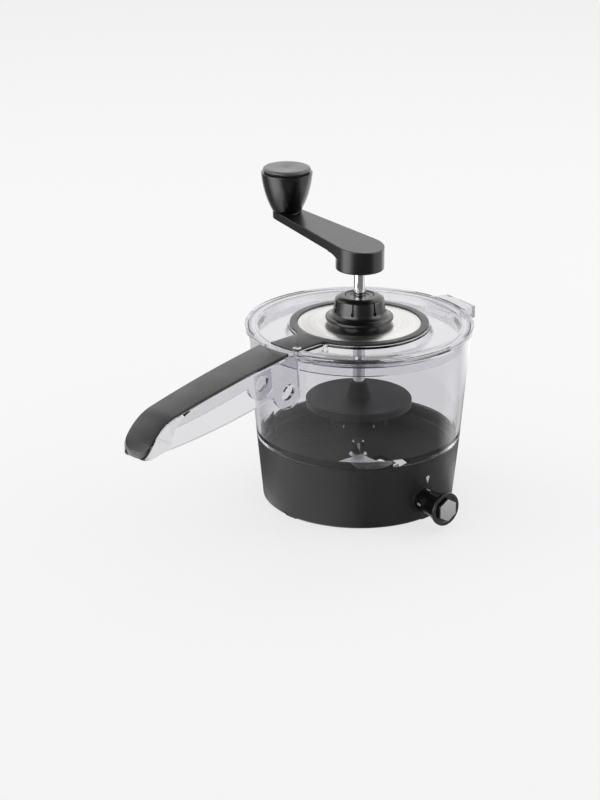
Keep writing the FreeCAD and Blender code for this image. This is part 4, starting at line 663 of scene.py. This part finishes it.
@dataclass(frozen=True)
class Bench:
    """Turns, cuts, rounds and copies pieces with the modelling tools."""

    turned_steps: int = 128
    round_steps: int = 3
    sharp_angle: float = 30.0
    flat_angle: float = 0.5
    weld: float = 0.002

    def turn(self, name: str, profile: Profile, foot: Vector, along: Vector = UP) -> bpy.types.Object:
        """Turns a profile about an axis, as on a lathe.

        Args:
            name: The piece's name.
            profile: Radius and height of each corner, in millimetres.
            foot: The place on the axis from which the heights count, in metres.
            along: The axis.

        Returns:
            The turned piece, with sharp edges.
        """
        across = along.orthogonal().normalized()
        corners = [foot + (across * radius + along * height) * MM for radius, height in profile]
        bpy.ops.object.select_all(action="DESELECT")
        bpy.ops.mesh.primitive_plane_add(size=MM, location=corners[0])
        piece = bpy.context.object
        piece.name = name
        bpy.ops.object.mode_set(mode="EDIT")
        bpy.ops.mesh.select_mode(type="VERT")
        bpy.ops.mesh.select_all(action="SELECT")
        bpy.ops.mesh.merge(type="CENTER")
        for start, end in zip(corners, corners[1:]):
            bpy.ops.mesh.extrude_region_move(TRANSFORM_OT_translate={"value": end - start})
        bpy.ops.mesh.select_all(action="SELECT")
        bpy.ops.mesh.spin(steps=self.turned_steps, angle=math.tau, center=foot, axis=along)
        bpy.ops.mesh.select_all(action="SELECT")
        bpy.ops.mesh.remove_doubles(threshold=0.5 * self.weld * MM)
        bpy.ops.mesh.normals_make_consistent(inside=False)
        bpy.ops.object.mode_set(mode="OBJECT")
        self.settle(piece)
        return piece

    def block(self, name: str, middle: Vector, size: Sequence[float], azimuth: float,
              sides: int = 4) -> bpy.types.Object:
        """Makes a prism whose own X axis points out at an azimuth.

        Args:
            name: Its name.
            middle: Its middle, in metres.
            size: Its length along X, its width and its height, in millimetres, over the flats of a box
                and over the corners of any other prism.
            azimuth: Where X points.
            sides: Its number of sides about X: 4 for a box, 6 for a hexagon with a corner on top.

        Returns:
            The prism.
        """
        length, width, height = size
        corner = math.cos(math.pi / 4) if sides == 4 else 0.5
        bpy.ops.object.select_all(action="DESELECT")
        bpy.ops.mesh.primitive_cylinder_add(vertices=sides, radius=corner * MM, depth=length * MM)
        piece = bpy.context.object
        piece.name = name
        turn = math.pi / sides
        bpy.ops.object.mode_set(mode="EDIT")
        bpy.ops.mesh.select_all(action="SELECT")
        bpy.ops.transform.rotate(value=turn, orient_axis="Z", center_override=(0.0, 0.0, 0.0))
        bpy.ops.transform.resize(value=(height, width, 1.0), center_override=(0.0, 0.0, 0.0))
        bpy.ops.object.mode_set(mode="OBJECT")
        piece.rotation_euler = (0.0, math.radians(90.0), math.radians(azimuth))
        piece.location = middle
        self.settle(piece)
        return piece

    def settle(self, piece: bpy.types.Object) -> None:
        """Applies a piece's own place, turn and scale."""
        take(piece)
        bpy.ops.object.transform_apply(location=True, rotation=True, scale=True)

    def cut(self, piece: bpy.types.Object, tools: Sequence[bpy.types.Object]) -> None:
        """Cuts tools out of a piece and throws them away.

        Args:
            piece: The piece.
            tools: The tools, which may overlap.
        """
        for tool in tools:
            take(piece)
            cutting = piece.modifiers.new("cut", "BOOLEAN")
            cutting.operation = "DIFFERENCE"
            cutting.solver = "EXACT"
            cutting.object = tool
            bpy.ops.object.modifier_apply(modifier=cutting.name)
            bpy.data.objects.remove(tool)

    def soften(self, piece: bpy.types.Object, width: float) -> None:
        """Rounds the sharp edges of a piece and shades it smooth.

        Args:
            piece: The piece.
            width: The width of the rounding, in millimetres.
        """
        take(piece)
        bevel = piece.modifiers.new("rounded_edges", "BEVEL")
        bevel.width = width * MM
        bevel.segments = self.round_steps
        bevel.limit_method = "ANGLE"
        bevel.angle_limit = math.radians(self.sharp_angle)
        bevel.use_clamp_overlap = True
        bpy.ops.object.modifier_apply(modifier=bevel.name)
        bpy.ops.object.shade_smooth_by_angle(angle=math.radians(self.sharp_angle))

    def copy_node(self, node_name: str, name: str, lift: float = 0.0) -> bpy.types.Object:
        """Copies the solid of a node into a mesh of its own, with its flat faces whole again.

        Args:
            node_name: The node.
            name: The piece's name.
            lift: How far the copy stands over the node, in millimetres.

        Returns:
            The copy.
        """
        node = frame["nodes"][node_name]
        piece = bpy.data.objects.new(name, node.data.copy())
        piece.data.transform(node.matrix_world)
        bpy.context.scene.collection.objects.link(piece)
        take(piece)
        bpy.ops.object.mode_set(mode="EDIT")
        bpy.ops.mesh.select_mode(type="VERT")
        bpy.ops.mesh.select_all(action="SELECT")
        bpy.ops.mesh.remove_doubles(threshold=self.weld * MM)
        bpy.ops.mesh.dissolve_limited(angle_limit=math.radians(self.flat_angle))
        bpy.ops.transform.translate(value=(0.0, 0.0, lift * MM))
        bpy.ops.mesh.customdata_custom_splitnormals_clear()
        bpy.ops.object.mode_set(mode="OBJECT")
        return piece


@dataclass
class SubAssembly:
    """Pieces that are built together, with the bench and the dresser that they need."""

    bench: Bench
    dresser: Dresser

    def fit(self, piece: bpy.types.Object, body: Body, slot: Slot, *nodes: str) -> None:
        """Dresses a finished piece and sets it in the object.

        Args:
            piece: The piece, in its place.
            body: What it moves with.
            slot: The record's slot whose finish it wears.
            nodes: The nodes that it stands for.
        """
        self.dresser.dress(piece, slot)
        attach(piece, body.value)
        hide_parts(*nodes)
        LOG.info("piece %s stands for %s", piece.name, ", ".join(nodes))


@dataclass
class CrankKnob(SubAssembly):
    """The flared knob of the crank and the grey cap in its top."""

    throw: float = 71.1
    azimuth: float = 85.4
    foot_height: float = 180.324
    bore_radius: float = 3.05
    foot_radius: float = 9.6
    rim_radius: float = 17.2
    height: float = 26.5
    flank_bulge: float = 1.48
    cavity_radius: float = 9.0
    web_height: float = 18.6
    rim_round: float = 0.5
    cap_foot_radius: float = 14.8
    cap_radius: float = 16.0
    cap_height: float = 3.2
    cap_dish: float = 0.8
    cap_edge: float = 1.3
    cap_bulge: float = 0.3
    dish_bulge: float = 0.15
    cap_round: float = 0.3
    plug_length: float = 2.6

    def foot(self) -> Vector:
        """Returns the middle of the knob's foot."""
        return (level(self.azimuth) * self.throw + UP * self.foot_height) * MM

    def knob(self) -> None:
        """Turns the flared body, hollow at the top for the plug of the cap."""
        flank = bow((self.foot_radius, 0.0), (self.rim_radius, self.height), self.flank_bulge)
        piece = self.bench.turn("crank_knob_body", [
            (self.bore_radius, 0.0), *flank, (self.cavity_radius, self.height),
            (self.cavity_radius, self.web_height), (self.bore_radius, self.web_height),
            (self.bore_radius, 0.0)], self.foot())
        self.bench.soften(piece, self.rim_round)
        self.fit(piece, Body.GRIP, Slot.BLACK_GLOSS, "crank_knob")

    def cap(self) -> None:
        """Turns the cap: a plug, a rounded edge and a shallow dish."""
        edge = bow((self.cap_radius, 0.5 * self.cap_height),
                   (self.cap_radius - self.cap_edge, self.cap_height), self.cap_bulge, steps=6)
        dish = bow(edge[-1], (0.0, self.cap_height - self.cap_dish), self.dish_bulge, steps=8)
        profile = [(0.0, -self.plug_length), (self.cavity_radius, -self.plug_length),
                   (self.cavity_radius, 0.0), (self.cap_foot_radius, 0.0), *edge, *dish[1:]]
        piece = self.bench.turn("crank_knob_cap", profile, self.foot() + UP * self.height * MM)
        self.bench.soften(piece, self.cap_round)
        self.fit(piece, Body.GRIP, Slot.GREY_INLAY, "knob_cap")

    def build(self) -> None:
        """Builds the knob and its cap."""
        self.knob()
        self.cap()


@dataclass
class LidMiddle(SubAssembly):
    """The steel disc in the lid, the dark ring with its strip, and the guide collar."""

    seat: float = 118.8
    disc_thickness: float = 1.0
    disc_radius: float = 40.4
    disc_edge: float = 0.3
    bore_radius: float = 6.6
    spigot_radius: float = 9.5
    spigot_length: float = 11.0
    neck_radius: float = 13.5
    neck_height: float = 2.7
    flange_radius: float = 22.3
    flange_edge: float = 2.2
    cove_height: float = 4.4
    cove_bulge: float = 1.4
    barrel_radius: float = 16.0
    barrel_flare: float = 1.0
    collar_height: float = 18.8
    crown_drop: float = 2.0
    crown_inset: float = 4.6
    crown_bulge: float = 0.35
    recess_depth: float = 1.7
    recess_radius: float = 9.5
    collar_round: float = 0.7
    slot_count: int = 7
    slot_azimuth: float = -153.0
    slot_size: tuple[float, float, float] = (0.9, 1.0, 9.0)
    slot_foot_radius: float = 1.2
    slot_foot_sides: int = 24
    tool_depth: float = 4.0
    tool_over: float = 2.0
    ring_round: float = 0.35

    def disc(self) -> None:
        """Turns the steel disc, with its outer edge broken."""
        piece = self.bench.turn("steel_disc", [
            (self.spigot_radius, 0.0), (self.disc_radius, 0.0), (self.disc_radius, self.disc_thickness),
            (self.spigot_radius, self.disc_thickness), (self.spigot_radius, 0.0)], UP * self.seat * MM)
        self.bench.soften(piece, self.disc_edge)
        self.fit(piece, Body.LID, Slot.BRUSHED_DISC, "lid_disc")

    def ring(self) -> None:
        """Rounds the edges of the dark ring and of the strip that runs out to the handle."""
        piece = self.bench.copy_node("lid_inlay", "dark_ring_and_strip")
        self.bench.soften(piece, self.ring_round)
        self.fit(piece, Body.LID, Slot.DARK_INLAY, "lid_inlay")

    def slot_tools(self, foot: float) -> list[bpy.types.Object]:
        """Makes the tools that cut the upright slots, each with a round foot.

        Args:
            foot: The height of the disc's top, in millimetres.

        Returns:
            Two tools for each slot.
        """
        depth, width, length = self.slot_size
        reach = self.barrel_radius - depth + 0.5 * self.tool_depth
        top = foot + self.collar_height
        tools = []
        for number in range(self.slot_count):
            azimuth = self.slot_azimuth + 360.0 * number / self.slot_count
            out = level(azimuth) * reach
            upright = (out + UP * (top - 0.5 * (length - self.tool_over))) * MM
            size = (self.tool_depth, width, length + self.tool_over)
            tools.append(self.bench.block("slot_tool", upright, size, azimuth))
            round_foot = (out + UP * (top - length)) * MM
            across = 2.0 * self.slot_foot_radius
            size = (self.tool_depth, across, across)
            tools.append(self.bench.block("slot_tool", round_foot, size, azimuth, self.slot_foot_sides))
        return tools

    def collar(self) -> None:
        """Turns the collar: spigot, undercut neck, flange with a cove, slotted barrel, crown and recess."""
        foot = self.seat + self.disc_thickness
        edge_top = self.neck_height + self.flange_edge
        cove_top = edge_top + self.cove_height
        crown_edge = self.collar_height - self.crown_drop
        cove = bow((self.flange_radius, edge_top), (self.barrel_radius + self.barrel_flare, cove_top),
                   -self.cove_bulge, steps=12)
        crown = bow((self.barrel_radius, crown_edge),
                    (self.barrel_radius - self.crown_inset, self.collar_height), self.crown_bulge, steps=8)
        piece = self.bench.turn("guide_collar_body", [
            (self.bore_radius, -self.spigot_length), (self.spigot_radius, -self.spigot_length),
            (self.spigot_radius, 0.0), (self.neck_radius, 0.0), (self.neck_radius, self.neck_height),
            (self.flange_radius, self.neck_height), *cove, *crown,
            (self.recess_radius, self.collar_height),
            (self.recess_radius, self.collar_height - self.recess_depth),
            (self.bore_radius, self.collar_height - self.recess_depth),
            (self.bore_radius, -self.spigot_length)], UP * foot * MM)
        self.bench.soften(piece, self.collar_round)
        self.bench.cut(piece, self.slot_tools(foot))
        take(piece)
        bpy.ops.object.shade_smooth_by_angle(angle=math.radians(self.bench.sharp_angle))
        self.fit(piece, Body.LID, Slot.BLACK_GLOSS, "guide_collar")

    def build(self) -> None:
        """Builds the disc, the ring and the collar."""
        self.disc()
        self.ring()
        self.collar()


@dataclass
class TurningSleeve(SubAssembly):
    """The sleeve in which the shaft slides, which shows as a stepped ring in the collar."""

    foot_height: float = 106.4
    seat_height: float = 136.9
    bore_radius: float = 4.05
    radius: float = 6.5
    flange_radius: float = 9.2
    flange_thickness: float = 1.3
    step_radius: float = 6.3
    step_depth: float = 0.4
    edge: float = 0.3
    clip_groove: tuple[float, float, float] = (6.0, 0.9, 2.1)
    ring_groove: tuple[float, float, float] = (5.56, 14.5, 16.0)

    def build(self) -> None:
        """Turns the sleeve: its groove for the clip, its stepped flange and the seat of its O-ring."""
        seat = self.seat_height - self.foot_height
        top = seat + self.flange_thickness
        clip_radius, clip_low, clip_high = self.clip_groove
        ring_radius, ring_low, ring_high = self.ring_groove
        piece = self.bench.turn("turning_sleeve", [
            (self.bore_radius, 0.0), (self.radius, 0.0), (self.radius, clip_low), (clip_radius, clip_low),
            (clip_radius, clip_high), (self.radius, clip_high), (self.radius, seat),
            (self.flange_radius, seat), (self.flange_radius, top), (self.step_radius, top),
            (self.step_radius, top - self.step_depth), (self.bore_radius, top - self.step_depth),
            (self.bore_radius, ring_high), (ring_radius, ring_high), (ring_radius, ring_low),
            (self.bore_radius, ring_low), (self.bore_radius, 0.0)], UP * self.foot_height * MM)
        self.bench.soften(piece, self.edge)
        self.fit(piece, Body.SLEEVE, Slot.BEARING_PLASTIC, "bearing_sleeve")


@dataclass
class SelectorKnob(SubAssembly):
    """The flared knob that sets the width of the strips, with a grey hexagon on its face."""

    azimuth: float = -97.2
    axis_height: float = 15.6
    start: float = 66.53
    length: float = 20.5
    neck_radius: float = 8.0
    neck_length: float = 7.0
    rim_radius: float = 11.1
    rim_width: float = 1.8
    flare_bulge: float = -0.65
    rim_round: float = 0.7
    boss_radius: float = 8.1
    boss_stand: float = 1.4
    seat_rim: tuple[float, float] = (0.6, 0.2)
    seat_depth: float = 0.3
    inlay_thickness: float = 0.8
    inlay_inset: float = 0.6
    inlay_round: float = 0.3

    def foot(self, distance: float) -> Vector:
        """Returns the place on the knob's axis at a distance from the bowl's axis."""
        return (level(self.azimuth) * distance + UP * self.axis_height) * MM

    def knob(self) -> None:
        """Turns the knob and stands the hexagonal boss on its face."""
        neck_end = (self.neck_radius, self.neck_length)
        rim_start = (self.rim_radius, self.length - self.rim_width)
        flare = bow(neck_end, rim_start, self.flare_bulge, steps=12)
        seat = self.length - self.seat_depth
        outer, inner = (self.boss_radius + play for play in self.seat_rim)
        piece = self.bench.turn("selector_knob_body", [
            (0.0, 0.0), (self.neck_radius, 0.0), *flare, (self.rim_radius, self.length),
            (outer, self.length), (inner, seat), (0.0, seat)], self.foot(self.start), level(self.azimuth))
        self.bench.soften(piece, self.rim_round)
        boss = self.hexagon("selector_boss", self.length - self.rim_width, self.length + self.boss_stand, 0.0)
        take(boss)
        piece.select_set(True)
        bpy.context.view_layer.objects.active = piece
        bpy.ops.object.join()
        self.fit(piece, Body.SELECTOR, Slot.BLACK_GLOSS, "selector_knob")

    def hexagon(self, name: str, low: float, high: float, inset: float) -> bpy.types.Object:
        """Makes a six-sided plate on the knob's axis, with a corner at the top and rounded edges.

        Args:
            name: Its name.
            low: Its back face, from the knob's start.
            high: Its front face.
            inset: How much smaller than the boss it is.

        Returns:
            The plate.
        """
        across = 2.0 * (self.boss_radius - inset)
        middle = self.foot(self.start + 0.5 * (low + high))
        piece = self.bench.block(name, middle, (high - low, across, across), self.azimuth, sides=6)
        self.bench.soften(piece, self.inlay_round)
        return piece

    def inlay(self) -> None:
        """Makes the grey hexagon."""
        low = self.length + self.boss_stand
        piece = self.hexagon("selector_hexagon", low, low + self.inlay_thickness, self.inlay_inset)
        self.fit(piece, Body.SELECTOR, Slot.SILVER_MARK, "selector_inlay")

    def build(self) -> None:
        """Builds the knob and the hexagon."""
        self.knob()
        self.inlay()


@dataclass
class HandleStrip(SubAssembly):
    """The dark strip that lies along the top of the handle."""

    edge_round: float = 0.6
    lift: float = 0.08

    def build(self) -> None:
        """Rounds the strip's edges and frees its lower face from the handle."""
        piece = self.bench.copy_node("handle_inlay", "handle_strip", self.lift)
        self.bench.soften(piece, self.edge_round)
        self.fit(piece, Body.CONTAINER, Slot.DARK_INLAY, "handle_inlay")


@dataclass(frozen=True)
class Lamp:
    """A soft rectangular lamp that hangs round the object."""

    name: str
    azimuth: float
    distance: float
    height: float
    size: tuple[float, float]
    watts: float


@dataclass(frozen=True)
class Strip:
    """A bright strip that only glossy faces see: it stands round the object, or runs out from it."""

    azimuth: float
    half_width: float
    soft_edge: float
    strength: float


@dataclass
class Studio:
    """The pale floor, the soft lamps, the world and the camera."""

    camera_place: tuple[float, float, float] = (-1.02582, -0.92002, 0.59385)
    camera_pitch: float = 21.0
    camera_turn: float = -46.5
    focal_length: float = 100.2
    sensor_width: float = 36.0
    camera_reach: tuple[float, float] = (0.01, 50.0)
    floor_size: float = 16.0
    pale: float = 0.921
    fill: float = 0.55
    floor_colour: float = 0.3
    floor_roughness: float = 0.9
    floor_glow: float = 0.69
    mirrored_floor: float = 0.01
    mirrored_front: float = 0.25
    mirrored_back: float = 1.4
    mirrored_back_top: float = 0.98
    front_fade: tuple[float, float] = (0.45, 0.6)
    back_fade: tuple[float, float] = (0.4, 0.6)
    side_fade: tuple[float, float] = (0.1, 0.75)
    mirrored_front_top: float = 0.03
    inner_side_share: float = 0.85
    inner_front_share: float = 0.3
    inner_front: tuple[float, float] = (150.0, 125.0)
    front_panels: tuple[Strip, ...] = (
        Strip(azimuth=-132.0, half_width=24.0, soft_edge=14.0, strength=5.2),
        Strip(azimuth=104.0, half_width=16.0, soft_edge=14.0, strength=2.5))
    near_reach: tuple[float, float] = (0.2, 0.3)
    near_strips: tuple[Strip, ...] = (
        Strip(azimuth=-135.0, half_width=25.0, soft_edge=35.0, strength=1.5),
        Strip(azimuth=80.0, half_width=5.0, soft_edge=14.0, strength=1.7),
        Strip(azimuth=140.0, half_width=20.0, soft_edge=40.0, strength=0.4))
    far_strips: tuple[Strip, ...] = (
        Strip(azimuth=-114.0, half_width=14.0, soft_edge=22.0, strength=3.2),
        Strip(azimuth=94.0, half_width=15.0, soft_edge=16.0, strength=0.8),
        Strip(azimuth=15.0, half_width=40.0, soft_edge=16.0, strength=1.2))
    lamps: tuple[Lamp, ...] = (
        Lamp("left_lamp", azimuth=-75.0, distance=1.1, height=0.9, size=(1.0, 1.0), watts=3.5),
        Lamp("right_lamp", azimuth=75.0, distance=1.1, height=0.7, size=(1.0, 1.0), watts=3.0),
        Lamp("back_lamp", azimuth=10.0, distance=1.0, height=1.3, size=(1.4, 1.0), watts=3.0))
    lamps_aim: tuple[float, float, float] = (0.0, 0.0, 0.1)

    def floor(self) -> None:
        """Lays a wide pale sheet under the object, which glows a little and keeps the object's shadow."""
        bpy.ops.mesh.primitive_plane_add(size=self.floor_size)
        sheet_object = bpy.context.object
        sheet_object.name = "studio_floor"
        material, sheet, shader, _ = new_material("pale_floor")
        path = sheet.put("LightPath")
        inner = self.inner_share(sheet, sheet.object_place())
        direct = sheet.sum("MULTIPLY", seen_share(sheet, path, inner), self.floor_glow)
        strips = self.floor_strips(sheet)
        mirrored = sheet.sum("MULTIPLY", mirrored_share(sheet, path), strips)
        sheet.wire(shader, {"Base Color": four((self.floor_colour,) * 3), "Roughness": self.floor_roughness,
                            "Specular IOR Level": 0.0, "Emission Color": four((1.0, 1.0, 1.0)),
                            "Emission Strength": sheet.sum("ADD", direct, mirrored)})
        sheet_object.data.materials.append(material)

    def floor_strips(self, sheet: NodeSheet) -> bpy.types.NodeSocket:
        """Lays the bright strips that the object's upright faces mirror from the floor.

        The near strips lie beside the base, and the far ones start where the near ones fade.

        Args:
            sheet: The floor's sheet.

        Returns:
            Their glow.
        """
        place = sheet.object_place()
        distance = sheet.put("VectorMath", {0: place}, operation="LENGTH").outputs["Value"]
        far = sheet.between(distance, *self.near_reach)
        near = sheet.sum("SUBTRACT", 1.0, far)
        glows = [sheet.sum("MULTIPLY", share, self.strips(sheet, place, strips))
                 for share, strips in ((near, self.near_strips), (far, self.far_strips))]
        return sheet.sum("ADD", sheet.sum("ADD", *glows), self.mirrored_floor)

    def strips(self, sheet: NodeSheet, place: bpy.types.NodeSocket,
               strips: Sequence[Strip]) -> bpy.types.NodeSocket:
        """Lays bright strips that run out from the object, or stand round it.

        Args:
            sheet: The sheet to add to.
            place: The place or the direction that is asked for.
            strips: The strips.

        Returns:
            Their glow.
        """
        azimuth = self.azimuth(sheet, place)
        glow = 0.0
        for strip in strips:
            off = sheet.sum("ABSOLUTE", sheet.sum("SUBTRACT", azimuth, strip.azimuth))
            edge = strip.half_width + strip.soft_edge
            bright = sheet.between(off, strip.half_width, edge, strip.strength, 0.0)
            glow = sheet.sum("ADD", bright, glow)
        return glow

    def azimuth(self, sheet: NodeSheet, place: bpy.types.NodeSocket) -> bpy.types.NodeSocket:
        """Works out the azimuth of a place or direction, with 0 behind the object.

        Args:
            sheet: The sheet to add to.
            place: The place or direction.

        Returns:
            The azimuth in degrees.
        """
        parts = [sheet.put("VectorMath", {0: place, 1: self.around(line, 1.0, 0.0)},
                           operation="DOT_PRODUCT").outputs["Value"] for line in (90.0, 0.0)]
        return sheet.sum("DEGREES", sheet.sum("ARCTAN2", *parts))

    def inner_share(self, sheet: NodeSheet, place: bpy.types.NodeSocket) -> bpy.types.NodeSocket:
        """Works out how much of the studio the pieces behind clear plastic mirror: less of its front.

        Args:
            sheet: The sheet to add to.
            place: The place or direction that they mirror.

        Returns:
            The share.
        """
        turned = sheet.sum("ABSOLUTE", self.azimuth(sheet, place))
        darkest, end = self.inner_front
        return sheet.between(turned, end, darkest, self.inner_side_share, self.inner_front_share)

    def world(self) -> None:
        """Sets the surrounding light: pale where it is seen, darker in front where it is mirrored."""
        world = bpy.data.worlds.new("studio_world")
        bpy.context.scene.world = world
        world.use_nodes = True
        world.node_tree.nodes.clear()
        sheet = NodeSheet(world.node_tree)
        path = sheet.put("LightPath")
        away = self.around(0.0, 1.0, 0.0)
        place = sheet.put("TexCoord").outputs["Generated"]
        along = sheet.put("VectorMath", {0: place, 1: away}, operation="DOT_PRODUCT").outputs["Value"]
        height = sheet.put("SeparateXYZ", {0: place}).outputs[2]
        panels = sheet.sum("ADD", self.strips(sheet, place, self.front_panels), self.mirrored_front)
        front = sheet.between(height, *self.front_fade, panels, self.mirrored_front_top)
        back = sheet.between(height, *self.back_fade, self.mirrored_back, self.mirrored_back_top)
        mirrored = sheet.between(along, *self.side_fade, front, back)
        seen = seen_share(sheet, path, self.inner_share(sheet, place))
        plain = sheet.between(seen, 0.0, 1.0, self.fill, self.pale)
        share = mirrored_share(sheet, path)
        strength = sheet.sum("ADD", sheet.sum("MULTIPLY", mirrored, share),
                             sheet.sum("MULTIPLY", plain, sheet.sum("SUBTRACT", 1.0, share)))
        surround = sheet.put("Background", {"Color": (1.0, 1.0, 1.0, 1.0), "Strength": strength})
        sheet.put("OutputWorld", {"Surface": surround.outputs[0]})

    def hang(self, lamp: Lamp) -> None:
        """Hangs a lamp, which clear plastic doesn't bend into view.

        Args:
            lamp: The lamp.
        """
        light = bpy.data.lights.new(lamp.name, "AREA")
        light.shape = "RECTANGLE"
        light.size, light.size_y = lamp.size
        light.energy = lamp.watts
        holder = bpy.data.objects.new(lamp.name, light)
        place = self.around(lamp.azimuth, lamp.distance, lamp.height)
        holder.location = place
        holder.visible_transmission = False
        holder.rotation_mode = "QUATERNION"
        holder.rotation_quaternion = (Vector(self.lamps_aim) - place).to_track_quat("-Z", "Y")
        bpy.context.scene.collection.objects.link(holder)

    def around(self, azimuth: float, distance: float, height: float) -> Vector:
        """Returns a place round the object, with azimuth 0 behind it as the camera sees it."""
        turn = math.radians(90.0 + self.camera_turn - azimuth)
        return Vector((math.cos(turn) * distance, math.sin(turn) * distance, height))

    def camera(self) -> None:
        """Stands the camera where the object is seen from above its handle's side."""
        data = bpy.data.cameras.new("studio_camera")
        data.lens = self.focal_length
        data.sensor_width = self.sensor_width
        data.clip_start, data.clip_end = self.camera_reach
        holder = bpy.data.objects.new("studio_camera", data)
        holder.location = self.camera_place
        holder.rotation_euler = (math.radians(90.0 - self.camera_pitch), 0.0, math.radians(self.camera_turn))
        bpy.context.scene.collection.objects.link(holder)
        bpy.context.scene.camera = holder

    def build(self) -> None:
        """Sets up the whole studio."""
        bpy.context.scene.view_settings.view_transform = "Standard"
        self.floor()
        self.world()
        for lamp in self.lamps:
            self.hang(lamp)
        self.camera()


def main() -> None:
    """Dresses the object and sets up the studio."""
    logging.basicConfig(level=logging.INFO, format="%(message)s")
    dresser = Dresser()
    dresser.dress_nodes()
    bench = Bench()
    for assembly in (SelectorKnob, HandleStrip, LidMiddle, TurningSleeve, CrankKnob):
        assembly(bench, dresser).build()
    Studio().build()


if __name__ == "__main__":
    main()
